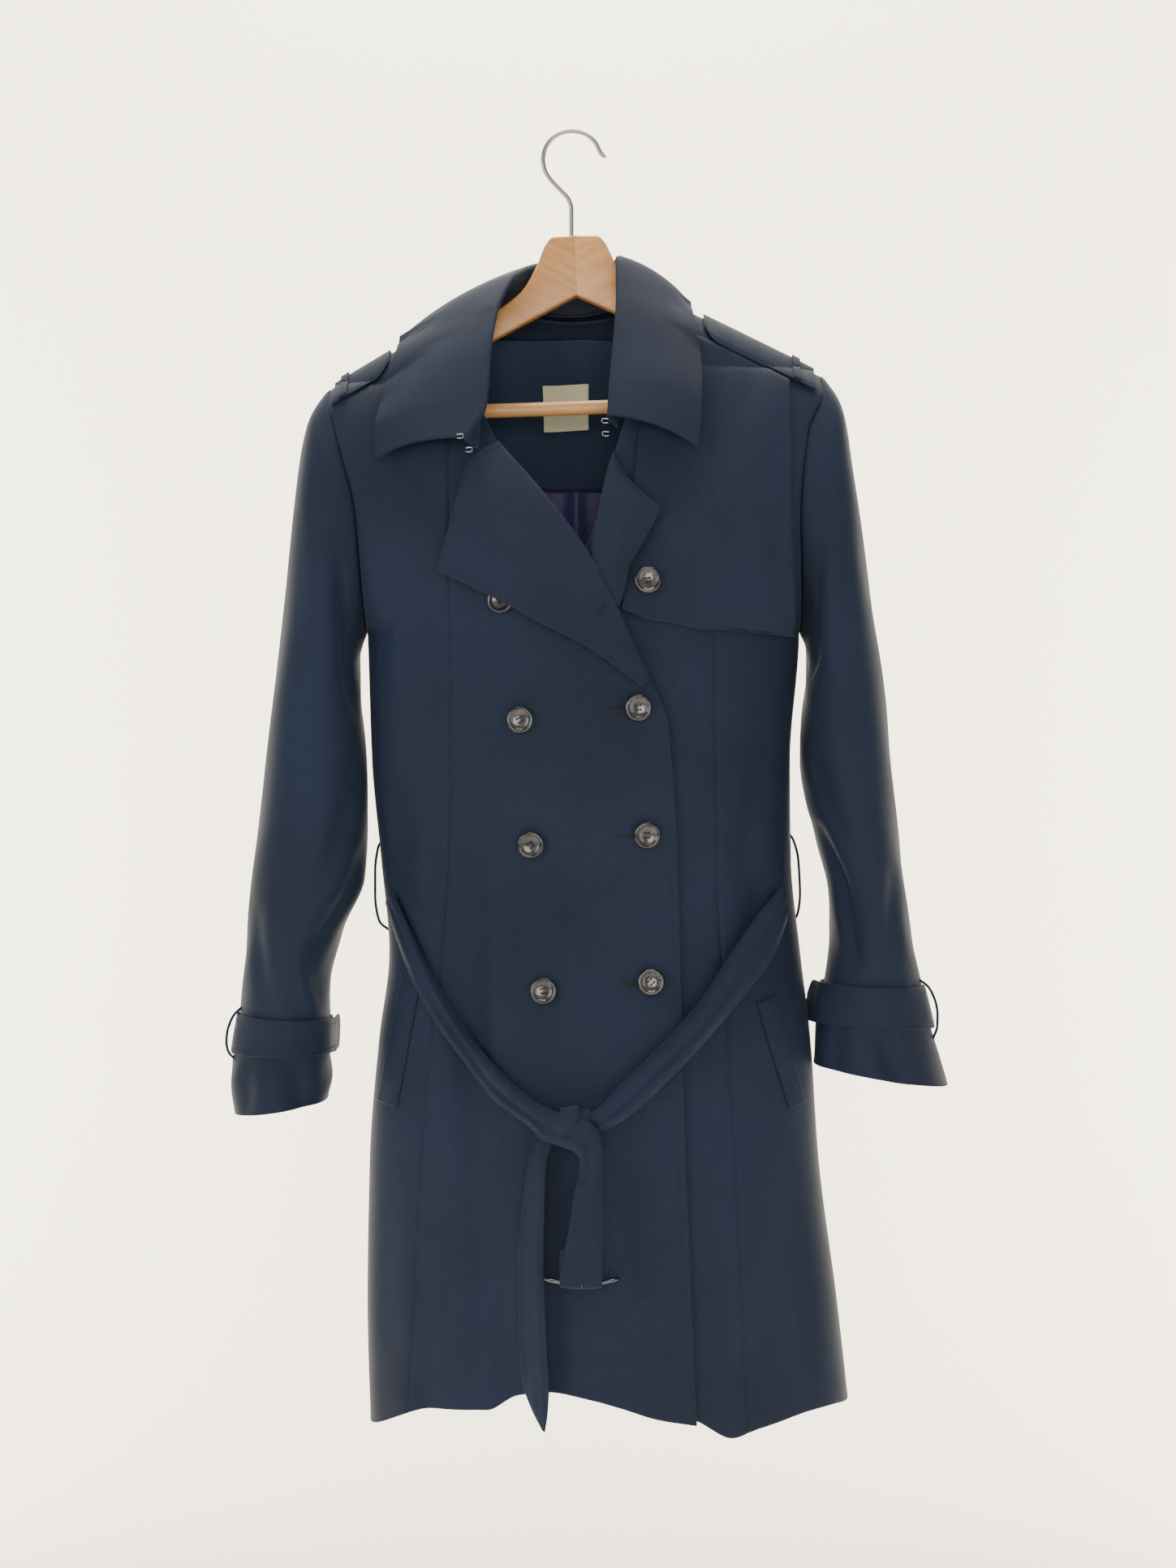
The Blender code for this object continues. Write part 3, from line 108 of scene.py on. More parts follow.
FOLDS = (
    # side  x0      z0      x1      z1      depth   width
    (-1, -0.128, -0.500, -0.072, -0.900, 0.0100, 0.020),
    (-1, -0.078, -0.860, -0.045, -1.180, 0.0090, 0.024),
    (-1, -0.150, -0.560, -0.148, -0.720, 0.0090, 0.014),
    (-1, 0.150, -0.600, 0.160, -0.720, 0.0080, 0.016),
    (-1, 0.140, -0.860, 0.160, -1.180, -0.0080, 0.026),
    (-1, -0.145, -0.380, -0.120, -0.520, 0.0080, 0.018),
    (-1, -0.152, -0.395, -0.146, -0.485, -0.0035, 0.009),
    (-1, -0.176, -0.300, -0.152, -0.430, 0.0040, 0.010),
    (-1, 0.188, -0.300, 0.170, -0.420, 0.0040, 0.010),
    (-1, -0.166, -0.635, -0.112, -0.705, 0.0035, 0.007),
    (-1, 0.186, -0.630, 0.140, -0.700, 0.0035, 0.007),
    (-1, 0.172, -0.500, 0.150, -0.640, 0.0035, 0.011),
    (-1, 0.030, -0.525, -0.025, -0.590, 0.0022, 0.010),
    (-1, 0.050, -0.632, -0.010, -0.690, 0.0022, 0.010),
    (-1, -0.015, -0.640, 0.030, -0.740, 0.0020, 0.012),
    (-1, -0.110, -0.760, -0.098, -0.950, -0.0030, 0.012),
    (-1, -0.155, -0.880, -0.162, -1.150, 0.0050, 0.014),
    (-1, -0.128, -0.960, -0.118, -1.160, 0.0035, 0.010),
    (-1, -0.020, -0.930, -0.008, -1.150, 0.0030, 0.016),
    (-1, 0.046, -0.880, 0.058, -1.150, 0.0035, 0.017),
    (-1, 0.184, -0.880, 0.208, -1.150, 0.0050, 0.014),
    (-1, 0.116, -0.930, 0.124, -1.150, 0.0028, 0.009),
    (1, -0.070, -0.560, -0.060, -0.820, 0.0080, 0.022),
    (1, 0.075, -0.540, 0.085, -0.800, 0.0080, 0.022),
    (1, -0.090, -0.860, -0.110, -1.180, 0.0100, 0.028),
    (1, 0.050, -0.880, 0.060, -1.180, 0.0100, 0.028),
    (1, -0.150, -0.300, -0.120, -0.470, 0.0050, 0.014),
    (1, 0.160, -0.310, 0.135, -0.460, 0.0045, 0.014),
    (1, -0.140, -0.620, -0.095, -0.700, 0.0035, 0.009),
    (1, 0.165, -0.620, 0.115, -0.710, 0.0040, 0.009),
    (1, -0.020, -0.250, 0.004, -0.480, -0.0030, 0.016),
    (1, 0.000, -0.900, -0.012, -1.150, 0.0050, 0.020),
    (1, 0.140, -0.880, 0.165, -1.160, 0.0060, 0.020),
    (1, -0.145, -0.920, -0.152, -1.150, -0.0040, 0.014),
)
SECTION_POWER = 2.4       # how boxy a level section of the coat is, 2 being an ellipse
SHOULDER_ROUND = 0.028    # height over which the cloth rounds over the hanger's arms
OVERLAP_STEP, OVERLAP_START, OVERLAP_FULL = 0.0045, -0.082, -0.064
ARMHOLE_DEPTH, UNDERARM = 0.048, -0.440


def along(rows, t, column=1):
    """Smooth value of a table's column at t, which runs along its first column."""
    rows = rows if rows[0][0] < rows[-1][0] else rows[::-1]
    keys = np.array([row[0] for row in rows], float)
    values = np.array([row[column] for row in rows], float)
    gaps = np.diff(keys)
    rises = np.diff(values)
    slopes = rises / gaps
    product, total = slopes[1:] * slopes[:-1], slopes[1:] + slopes[:-1]
    bends = np.where(product > 0, 2 * product / np.where(product > 0, total, 1), 0)
    slopes = np.concatenate(([slopes[0]], bends, [slopes[-1]]))
    t = np.clip(t, keys[0], keys[-1])
    i = np.clip(np.searchsorted(keys, t) - 1, 0, len(gaps) - 1)
    w = (t - keys[i]) / gaps[i]
    a = slopes[i] * gaps[i] - rises[i]
    b = rises[i] - slopes[i + 1] * gaps[i]
    return values[i] + w * rises[i] + w * (1 - w) * ((1 - w) * a + w * b)


def smooth_step(t):
    t = np.clip(t, 0.0, 1.0)
    return t * t * (3 - 2 * t)


def shoulder_line(x):
    return np.interp(x, [row[0] for row in SHOULDER], [row[1] for row in SHOULDER])


def body_depth(side, x, z, over=0.0):
    """How far the coat's outer face stands from its middle plane at x and z."""
    left, right = along(BODY, z, 1), along(BODY, z, 2)
    share = np.clip(np.abs((2 * x - left - right) / (right - left)), 0, 1)
    depth = along(BODY, z, 3 if side < 0 else 4)
    top = np.where(x < 0, SHOULDER[0][1], SHOULDER[-1][1])
    reach = (z - (top + UNDERARM) / 2) / ((top - UNDERARM) / 2)
    edge = ARMHOLE_DEPTH * np.sqrt(np.clip(1 - reach * reach, 0, None))
    crown = np.clip(1 - share ** SECTION_POWER, 0, None) ** (1 / SECTION_POWER)
    near = np.clip((shoulder_line(x) - z) / SHOULDER_ROUND, 0, 1)
    rounding = np.sqrt(1 - (1 - near) ** 2)
    fold = np.zeros_like(crown)
    for fold_side, x0, z0, x1, z1, size, width in FOLDS:
        if fold_side == side:
            t = np.clip((z - z0) / (z1 - z0), 0, 1)
            fold += size * np.sin(np.pi * t) ** 0.8 * np.exp(-((x - x0 - (x1 - x0) * t) / width) ** 2)
    ease = 0.0011 * np.sin(x * 47 + 5 * np.sin(z * 6.1 + side)) * np.sin(z * 13 + 2.2 * np.sin(x * 21))
    ease += 0.0005 * np.sin(x * 118 + 3 * np.sin(z * 17)) * np.sin(z * 38 + 3 * np.sin(x * 31 + side))
    depth = (edge + (depth - edge) * crown - (fold + ease) * crown) * rounding
    return depth + over * smooth_step((x - OVERLAP_START) / (OVERLAP_FULL - OVERLAP_START))


def on_body(side, x, z, lift=0.0, over=0.0):
    """Points of the coat at x and z, moved out along its face by lift."""
    step = 0.0015
    here = body_depth(side, x, z, over)
    across = (body_depth(side, x + step, z, over) - body_depth(side, x - step, z, over)) / (2 * step)
    up = (body_depth(side, x, z + step, over) - body_depth(side, x, z - step, over)) / (2 * step)
    normal = np.stack([-across, side * np.ones_like(here), -up], -1)
    normal /= np.linalg.norm(normal, axis=-1, keepdims=True)
    return np.stack([x, side * here, z], -1) + normal * np.asarray(lift)[..., None]


def spread(count, bunched=0.5):
    """Shares from 0 to 1, closer together at both ends."""
    even = np.linspace(0, 1, count)
    return even + bunched * ((1 - np.cos(np.pi * even)) / 2 - even)


def linear(code):
    """A hex colour as the linear values that a material takes."""
    values = [int(code[k:k + 2], 16) / 255 for k in (1, 3, 5)]
    return [*(v / 12.92 if v <= 0.04045 else ((v + 0.055) / 1.055) ** 2.4 for v in values), 1.0]


def node(material, kind, settings=None, links=None):
    """Adds a node to a material; settings go on its sockets or itself, links come from other nodes."""
    made = material.node_tree.nodes.new(kind)
    for key, value in (settings or {}).items():
        if isinstance(key, int) or key in made.inputs:
            made.inputs[key].default_value = value
        else:
            setattr(made, key, value)
    for key, source in (links or {}).items():
        material.node_tree.links.new(source, made.inputs[key])
    return made


def new_material(name, **settings):
    """A material and its shader, with constant settings put straight on the sockets."""
    made = bpy.data.materials.new(name)
    made.use_nodes = True
    shader = made.node_tree.nodes["Principled BSDF"]
    for key, value in settings.items():
        shader.inputs[key.replace("_", " ")].default_value = value
    return made, shader


def woven(name, dark, light, period, roughness, sheen, relief):
    """Woven cloth: two close tones, a fine twill of that period in metres, and a soft sheen."""
    made, shader = new_material(name, Roughness=roughness, Sheen_Weight=sheen, Sheen_Roughness=0.45)
    shader.inputs["Specular IOR Level"].default_value = 0.18
    shader.inputs["Sheen Tint"].default_value = linear("#a9bccb")
    links = made.node_tree.links
    place = node(made, "ShaderNodeTexCoord")
    turned = node(made, "ShaderNodeMapping", {"Rotation": (0, 0, math.radians(63))},
                  {"Vector": place.outputs["UV"]})
    twill = node(made, "ShaderNodeTexWave", {"Scale": 0.314 / period, "Distortion": 0.6, "Detail": 1.0},
                 {"Vector": turned.outputs["Vector"]})
    slubs = node(made, "ShaderNodeTexNoise", {"Scale": 900.0, "Detail": 3.0}, {"Vector": place.outputs["UV"]})
    cloudy = node(made, "ShaderNodeTexNoise", {"Scale": 7.0, "Detail": 3.0},
                  {"Vector": place.outputs["Object"]})
    mixed = node(made, "ShaderNodeMix", {"data_type": "RGBA", "Factor": 0.5})
    tone = node(made, "ShaderNodeMath", {"operation": "MULTIPLY_ADD"},
                {0: slubs.outputs["Fac"], 1: cloudy.outputs["Fac"], 2: cloudy.outputs["Fac"]})
    links.new(tone.outputs[0], mixed.inputs[0])
    mixed.inputs[6].default_value = linear(dark)
    mixed.inputs[7].default_value = linear(light)
    links.new(mixed.outputs[2], shader.inputs["Base Color"])
    weave = node(made, "ShaderNodeMath", {"operation": "MULTIPLY_ADD", 1: 0.6},
                 {0: slubs.outputs["Fac"], 2: twill.outputs["Fac"]})
    bump = node(made, "ShaderNodeBump", {"Strength": relief, "Distance": 0.0004},
                {"Height": weave.outputs[0]})
    links.new(bump.outputs["Normal"], shader.inputs["Normal"])
    return made


COAT_CLOTH = woven("navy gabardine", "#0d1422", "#172135", 0.0009, 0.7, 0.09, 0.22)


def grid_normals(points, way):
    down, across = np.gradient(points, axis=0), np.gradient(points, axis=1)
    normals = np.cross(down, across) * way
    return normals / np.maximum(np.linalg.norm(normals, axis=-1, keepdims=True), 1e-12)


def cloth_sheet(name, points, wall, look, way=1, sink=(), nodes=()):
    """A thin cloth shell: a grid of outer points, its inner face and a rounded edge between them.
    way is 1 if rows run down and columns run to the right as seen from outside. The sides named
    in sink, of left, right, top and low, dip into a seam."""
    points = np.array(points, float)
    normals = grid_normals(points, way)
    lengths = [np.linalg.norm(np.diff(points, axis=axis), axis=-1) for axis in (0, 1)]
    v = np.pad(np.cumsum(lengths[0], 0), ((1, 0), (0, 0)))
    u = np.pad(np.cumsum(lengths[1], 1), ((0, 0), (1, 0)))
    reach = {"left": u, "right": u[:, -1:] - u, "top": v, "low": v[-1:] - v}
    for edge in sink:
        points -= normals * (0.0009 * np.exp(-(reach[edge] / 0.0022) ** 2))[..., None]
    u = u - u[:, -1:] / 2
    rows, columns = points.shape[:2]
    inner = points - normals * wall
    index = np.arange(rows * columns).reshape(rows, columns)
    rim = np.concatenate([index[0, :], index[1:, -1], index[-1, -2::-1], index[-2:0:-1, 0]])
    flat, low = points.reshape(-1, 3), inner.reshape(-1, 3)
    middle = (flat[rim] + low[rim]) / 2
    inward = np.concatenate([points[1, :] - points[0, :], points[1:, -2] - points[1:, -1],
                             points[-2, -2::-1] - points[-1, -2::-1],
                             points[-2:0:-1, 1] - points[-2:0:-1, 0]])
    inward /= np.maximum(np.linalg.norm(inward, axis=-1, keepdims=True), 1e-12)
    middle = middle - inward * wall * 0.4
    count = rows * columns
    quads = np.stack([index[:-1, :-1], index[1:, :-1], index[1:, 1:], index[:-1, 1:]], -1).reshape(-1, 4)
    ring = np.arange(len(rim)) + 2 * count
    after = np.roll(np.arange(len(rim)), -1)
    faces = [quads, quads[:, ::-1] + count,
             np.stack([rim, rim[after], ring[after], ring], -1),
             np.stack([ring, ring[after], rim[after] + count, rim + count], -1)]
    faces = np.concatenate(faces)
    faces = faces if way > 0 else faces[:, ::-1]
    mesh = bpy.data.meshes.new(name)
    mesh.from_pydata(np.concatenate([flat, low, middle]).tolist(), [], faces.tolist())
    layer = mesh.uv_layers.new(name="weave")
    places = np.stack([u.ravel(), v.ravel()], -1)
    places = np.concatenate([places, places, places[rim]])
    corners = np.empty(len(mesh.loops), np.int32)
    mesh.loops.foreach_get("vertex_index", corners)
    layer.data.foreach_set("uv", places[corners].ravel())
    mesh.materials.append(look)
    made = bpy.data.objects.new(name, mesh)
    bpy.context.scene.collection.objects.link(made)
    mesh.shade_smooth()
    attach(made, "root")
    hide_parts(*nodes)
    return made


def panel(side, first, last, roof, hem, columns, rows, over=0.0):
    """Grid of a panel between two edges, each given as x by height, from its roof to its hem."""
    t = spread(columns)

    def column_x(z):
        low, high = along(BODY, z, 1), along(BODY, z, 2)
        shares = [(2 * edge(z) - low - high) / (high - low) for edge in (first, last)]
        turns = [np.arcsin(np.clip(share, -1, 1)) for share in shares]
        return (low + high) / 2 + (high - low) / 2 * np.sin(turns[0] + (turns[1] - turns[0]) * t)

    top, bottom = np.full(columns, -0.2), np.full(columns, -1.1)
    for _ in range(14):
        top, bottom = roof(column_x(top)), hem(column_x(bottom))
    z = top + (bottom - top) * spread(rows, 0.25)[:, None]
    x = column_x(z)
    return np.stack([x, side * body_depth(side, x, z, over), z], -1)


def line_of(rows, column=1):
    return lambda t: along(rows, t, column)


def back_roof(x):
    return np.where((x > -0.072) & (x < 0.064), along(BACK_NECK, x), shoulder_line(x))


PANELS = (
    # name, side, first edge, last edge, roof, hem, columns, over, sides that dip into a seam
    ("front_right_side", -1, line_of(BODY, 1), line_of(RIGHT_SEAM), shoulder_line, line_of(RIGHT_HEM),
     54, 0.0, ("right", "top")),
    ("front_right", -1, line_of(RIGHT_SEAM), line_of(RIGHT_EDGE), shoulder_line, line_of(RIGHT_HEM),
     96, OVERLAP_STEP, ("left",)),
    ("front_left", -1, line_of(LEFT_EDGE), line_of(LEFT_SEAM), shoulder_line, line_of(LEFT_HEM),
     84, 0.0, ("right",)),
    ("front_left_side", -1, line_of(LEFT_SEAM), line_of(BODY, 2), shoulder_line, line_of(LEFT_HEM),
     54, 0.0, ("left", "top")),
    ("back_right", 1, line_of(BODY, 1), line_of(BACK_SEAM), back_roof, line_of(BACK_HEM),
     76, 0.0, ("top", "right")),
    ("back_left", 1, line_of(BACK_SEAM), line_of(BODY, 2), back_roof, line_of(BACK_HEM),
     76, 0.0, ("top", "left")),
)
panel_points = {}
for name, side, first, last, roof, hem, columns, over, sink in PANELS:
    panel_points[name] = panel(side, first, last, roof, hem, columns, 230, over)
    cloth_sheet("coat_" + name, panel_points[name], 0.0009, COAT_CLOTH, -side, sink, (name,))

# ---------------------------------------------------------------- sleeves
# Set-in sleeves of the same gabardine, sewn into the armholes with a sunk seam and turned up at
# the cuff. Each hangs with a soft bend at the elbow and creases above the strap.
SLEEVES = {
    "right": (
        # x out   z out    x in     z in    deep   forward
        (-0.2134, -0.226, -0.1794, -0.440, 0.048, 0.000),
        (-0.2290, -0.250, -0.1840, -0.452, 0.052, 0.000),
        (-0.2410, -0.310, -0.1860, -0.470, 0.056, 0.001),
        (-0.2510, -0.409, -0.1850, -0.500, 0.058, 0.002),
        (-0.2620, -0.497, -0.1810, -0.545, 0.057, 0.004),
        (-0.2700, -0.580, -0.1780, -0.600, 0.055, 0.006),
        (-0.2790, -0.650, -0.1810, -0.655, 0.052, 0.008),
        (-0.2840, -0.705, -0.2010, -0.703, 0.050, 0.010),
        (-0.2870, -0.745, -0.2110, -0.745, 0.048, 0.010),
        (-0.2900, -0.778, -0.2110, -0.782, 0.044, 0.010),
        (-0.2950, -0.808, -0.2110, -0.808, 0.044, 0.010),
        (-0.2980, -0.830, -0.2100, -0.828, 0.047, 0.010),
        (-0.2940, -0.860, -0.2130, -0.848, 0.049, 0.010),
    ),
    "left": (
        (0.2204, -0.214, 0.2004, -0.440, 0.048, 0.000),
        (0.2360, -0.238, 0.2060, -0.452, 0.052, 0.000),
        (0.2460, -0.290, 0.2070, -0.470, 0.056, 0.001),
        (0.2560, -0.360, 0.2060, -0.490, 0.058, 0.002),
        (0.2660, -0.430, 0.2030, -0.515, 0.058, 0.003),
        (0.2750, -0.500, 0.2000, -0.550, 0.056, 0.005),
        (0.2810, -0.570, 0.2060, -0.590, 0.054, 0.007),
        (0.2880, -0.630, 0.2150, -0.622, 0.052, 0.009),
        (0.2930, -0.675, 0.2250, -0.665, 0.050, 0.010),
        (0.2990, -0.715, 0.2260, -0.705, 0.049, 0.010),
        (0.3060, -0.748, 0.2210, -0.744, 0.046, 0.010),
        (0.3150, -0.785, 0.2150, -0.780, 0.048, 0.010),
        (0.3290, -0.835, 0.2120, -0.817, 0.054, 0.010),
    ),
}
SLEEVE_FOLDS = (
    # arm   place0 angle0 place1 angle1 depth  width in degrees
    ("right", 2.0, 60, 6.5, 95, 0.0045, 20),
    ("right", 4.2, 150, 6.6, 100, 0.0040, 14),
    ("right", 5.4, 165, 7.8, 120, 0.0045, 13),
    ("right", 6.4, 40, 8.6, 75, 0.0035, 14),
    ("right", 7.0, 100, 8.9, 140, -0.0025, 12),
    ("right", 9.8, 110, 12.4, 128, 0.0050, 15),
    ("right", 9.8, 60, 12.4, 48, 0.0035, 14),
    ("right", 1.0, 120, 3.5, 150, 0.0040, 16),
    ("right", 2.5, 250, 6.0, 285, 0.0060, 22),
    ("right", 5.5, 220, 8.5, 255, 0.0050, 18),
    ("right", 9.5, 270, 12.4, 262, 0.0050, 18),
    ("left", 1.5, 70, 5.5, 90, 0.0040, 20),
    ("left", 4.6, 155, 7.2, 110, 0.0045, 14),
    ("left", 6.4, 160, 9.8, 116, 0.0085, 12),
    ("left", 7.2, 50, 9.8, 80, 0.0035, 14),
    ("left", 10.8, 92, 12.5, 76, 0.0080, 13),
    ("left", 10.8, 135, 12.4, 142, 0.0040, 12),
    ("left", 1.0, 125, 3.0, 150, 0.0040, 16),
    ("left", 2.5, 250, 6.0, 280, 0.0060, 22),
    ("left", 5.5, 225, 9.0, 262, 0.0055, 18),
    ("left", 10.2, 270, 12.4, 278, 0.0050, 18),
)
ARMHOLE_HOLD = ((0, 1.0), (1, 0.5), (2, 0.15), (3, 0.0))   # how far the first rings keep the armhole's curve


def sleeve_base(arm, place, angle):
    """Point of a sleeve: place is 0 at the armhole and counts the rings down, angle 0 is outermost."""
    table = [(k, *row) for k, row in enumerate(SLEEVES[arm])]
    out_x, out_z, in_x, in_z, deep, forward = (along(table, place, k) for k in range(1, 7))
    x = (out_x + in_x) / 2 + (out_x - in_x) / 2 * np.cos(angle)
    z = (out_z + in_z) / 2 + (out_z - in_z) / 2 * np.cos(angle)
    y = -forward - deep * np.sin(angle)
    top_x, top, low_x = (SLEEVES[arm][0][k] for k in range(3))
    seam_z = top + (UNDERARM - top) * (1 - np.cos(angle)) / 2
    chord = top_x + (low_x - top_x) * (1 - np.cos(angle)) / 2
    seam = along(BODY, seam_z, 1 if arm == "right" else 2) + (-0.0004 if arm == "right" else 0.0004)
    return np.stack([x + (seam - chord) * along(ARMHOLE_HOLD, place), y, z], -1)


def sleeve_normal(arm, place, angle):
    step, turn, last = 0.02, 0.03, len(SLEEVES[arm]) - 1
    down = sleeve_base(arm, np.minimum(place + step, last), angle) - sleeve_base(
        arm, np.maximum(place - step, 0), angle)
    around = sleeve_base(arm, place, angle + turn) - sleeve_base(arm, place, angle - turn)
    normal = np.cross(down, around)
    normal /= np.linalg.norm(normal, axis=-1, keepdims=True)
    across = sleeve_base(arm, place, angle) - sleeve_base(arm, place, angle + math.pi)
    return normal * np.sign(np.sum(normal * across, -1, keepdims=True))


def sleeve_fold(arm, place, angle):
    total = np.zeros(np.broadcast(place, angle).shape)
    for which, place0, angle0, place1, angle1, size, width in SLEEVE_FOLDS:
        if which == arm:
            t = np.clip((place - place0) / (place1 - place0), 0, 1)
            off = np.degrees(angle) - angle0 - (angle1 - angle0) * t
            off = (off + 180) % 360 - 180
            total += size * np.sin(np.pi * t) ** 0.8 * np.exp(-(off / width) ** 2)
    soft = np.sin(place * 2.7 + 2 * np.sin(angle * 2)) * np.sin(angle * 3 + place) * smooth_step(place / 2)
    return total + 0.0009 * soft


def sleeve_point(arm, place, angle, lift=0.0):
    shift = np.asarray(lift - sleeve_fold(arm, place, angle))
    return sleeve_base(arm, place, angle) + sleeve_normal(arm, place, angle) * shift[..., None]


for arm, way in (("right", 1), ("left", -1)):
    last = len(SLEEVES[arm]) - 1
    place, angle = np.meshgrid(last * spread(210, 0.2), np.linspace(math.pi, 3 * math.pi, 97), indexing="ij")
    points = sleeve_point(arm, place, angle)
    cloth_sheet("coat_sleeve_" + arm, points, 0.0009, COAT_CLOTH, way, ("top",), ("sleeve_" + arm,))

# ---------------------------------------------------------------- hanger
# Beech hanger in two arms that meet in a mitre under the hook, with a turned trouser bar, and a
# bent steel wire hook screwed in from above.
HANGER_TILT = Matrix.Rotation(math.radians(-2.0), 3, "Y")
ARM = (
    # reach   top      bottom   half thickness
    (0.000, -0.0915, -0.1440, 0.0070),
    (0.019, -0.0918, -0.1532, 0.0070),
    (0.026, -0.0980, -0.1566, 0.0070),
    (0.034, -0.1160, -0.1606, 0.0069),
    (0.048, -0.1380, -0.1674, 0.0067),
    (0.067, -0.1520, -0.1770, 0.0062),
    (0.110, -0.1745, -0.1980, 0.0058),
    (0.150, -0.1950, -0.2175, 0.0055),
    (0.182, -0.2130, -0.2330, 0.0050),
    (0.190, -0.2190, -0.2350, 0.0044),
)


def beech(name, tone, turn):
    """Lacquered beech: long grain with short dark flecks, the grain lying along the turned X."""
    made, shader = new_material(name, Roughness=0.42, Coat_Weight=0.25, Coat_Roughness=0.25)
    links = made.node_tree.links
    place = node(made, "ShaderNodeTexCoord")
    turned = node(made, "ShaderNodeMapping", {"Rotation": (0, turn, 0)}, {"Vector": place.outputs["Object"]})
    long_grain = node(made, "ShaderNodeMapping", {"Scale": (6.0, 60.0, 60.0)},
                      {"Vector": turned.outputs["Vector"]})
    grain = node(made, "ShaderNodeTexNoise", {"Scale": 2.6, "Detail": 5.0, "Distortion": 0.6},
                 {"Vector": long_grain.outputs["Vector"]})
    short_grain = node(made, "ShaderNodeMapping", {"Scale": (260.0, 2600.0, 2600.0)},
                       {"Vector": turned.outputs["Vector"]})
    flecks = node(made, "ShaderNodeTexNoise", {"Scale": 1.0, "Detail": 1.0},
                  {"Vector": short_grain.outputs["Vector"]})
    ramp = node(made, "ShaderNodeValToRGB", {}, {"Fac": grain.outputs["Fac"]})
    ramp.color_ramp.elements[0].position, ramp.color_ramp.elements[0].color = 0.32, linear(tone[0])
    ramp.color_ramp.elements[1].position, ramp.color_ramp.elements[1].color = 0.68, linear(tone[1])
    spots = node(made, "ShaderNodeMapRange", {"From Min": 0.62, "From Max": 0.72, "To Max": 0.55},
                 {"Value": flecks.outputs["Fac"]})
    mixed = node(made, "ShaderNodeMix", {"data_type": "RGBA"}, {0: spots.outputs["Result"]})
    links.new(ramp.outputs["Color"], mixed.inputs[6])
    mixed.inputs[7].default_value = linear(tone[2])
    links.new(mixed.outputs[2], shader.inputs["Base Color"])
    bump = node(made, "ShaderNodeBump", {"Strength": 0.1, "Distance": 0.0003},
                {"Height": grain.outputs["Fac"]})
    links.new(bump.outputs["Normal"], shader.inputs["Normal"])
    return made


def loft(name, rings, look, closed=False):
    """A solid through closed rings of points, capped at its ends unless it closes on itself."""
    rings = np.array(rings, float)
    count, sides = rings.shape[:2]
    index = np.arange(count * sides).reshape(count, sides)
    after = np.roll(index, -1, 1)
    low, high = (index, np.roll(index, -1, 0)) if closed else (index[:-1], index[1:])
    low_after, high_after = (after, np.roll(after, -1, 0)) if closed else (after[:-1], after[1:])
    faces = np.stack([low, high, high_after, low_after], -1).reshape(-1, 4).tolist()
    if not closed:
        faces += [index[0].tolist(), index[-1, ::-1].tolist()]
    mesh = bpy.data.meshes.new(name)
    mesh.from_pydata(rings.reshape(-1, 3).tolist(), [], faces)
    mesh.materials.append(look)
    made = bpy.data.objects.new(name, mesh)
    bpy.context.scene.collection.objects.link(made)
    mesh.shade_smooth()
    mesh.set_sharp_from_angle(angle=math.radians(50))
    return made


def settle(piece, slot, *nodes):
    """The piece rides with the coat and stands for its nodes; slot is not used."""
    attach(piece, "root")
    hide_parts(*nodes)
    return piece


# The first set of beech tones is darker, painted shade on the right arm; the second is lighter, painted light on the
# left arm and the bar, where the two arms face the light differently.
BEECH_SHADED_AND_LIT_TONES = (("#a8733c", "#c08a50", "#7f5025"), ("#b9834a", "#cf9a60", "#94622f"))
for side, tone, name in ((-1, 0, "right"), (1, 1, "left")):
    rings = []
    for reach in 0.190 * spread(64, 0.3):
        top, bottom, half = (along(ARM, reach, k) for k in (1, 2, 3))
        rounding, middle = 0.0026, (top + bottom) / 2
        rounding *= min(1.0, 0.35 + reach / 0.004)
        ring = []
        for corner in range(4):
            side_y, side_z = ((-1, 1), (1, 1), (1, -1), (-1, -1))[corner]
            for step in range(6):
                angle = math.radians(180 - corner * 90 - step * 18)
                ring.append((side * (reach + 0.00003), -0.003 * (reach / 0.190) ** 2
                             + side_y * (half - rounding) + rounding * math.cos(angle),
                             middle + side_z * ((top - bottom) / 2 - rounding) + rounding * math.sin(angle)))
        rings.append([HANGER_TILT @ Vector(point) for point in (ring if side > 0 else ring[::-1])])
    arm = loft("hanger_wood_" + name, rings, beech("beech " + name, BEECH_SHADED_AND_LIT_TONES[tone], side * 0.45))
    settle(arm, "beech", "hanger_wood_" + name)

bpy.ops.mesh.primitive_cylinder_add(vertices=48, radius=0.0062, depth=0.360, location=(0, 0, 0))
bar = bpy.context.object
bar.name = "hanger_bar"
bar.data.transform(HANGER_TILT.to_4x4() @ Matrix.Translation((0, -0.0027, -0.2425)) @ Matrix.Rotation(
    math.pi / 2, 4, "Y"))
# The bar takes the lighter set of beech tones: painted light.
bar.data.materials.append(beech("beech bar", BEECH_SHADED_AND_LIT_TONES[1], 0.0))
bpy.ops.object.shade_smooth_by_angle(angle=math.radians(40))
settle(bar, "beech", "hanger_bar")


def route(knots, count):
    """Points on one smooth curve through the knots, evenly spaced."""
    knots = np.array(knots, float)
    marks = np.concatenate(([0], np.cumsum(np.linalg.norm(np.diff(knots, axis=0), axis=1))))
    rows = np.column_stack([marks, knots])
    return np.stack([along(rows, marks[-1] * np.linspace(0, 1, count), k) for k in (1, 2, 3)], -1)


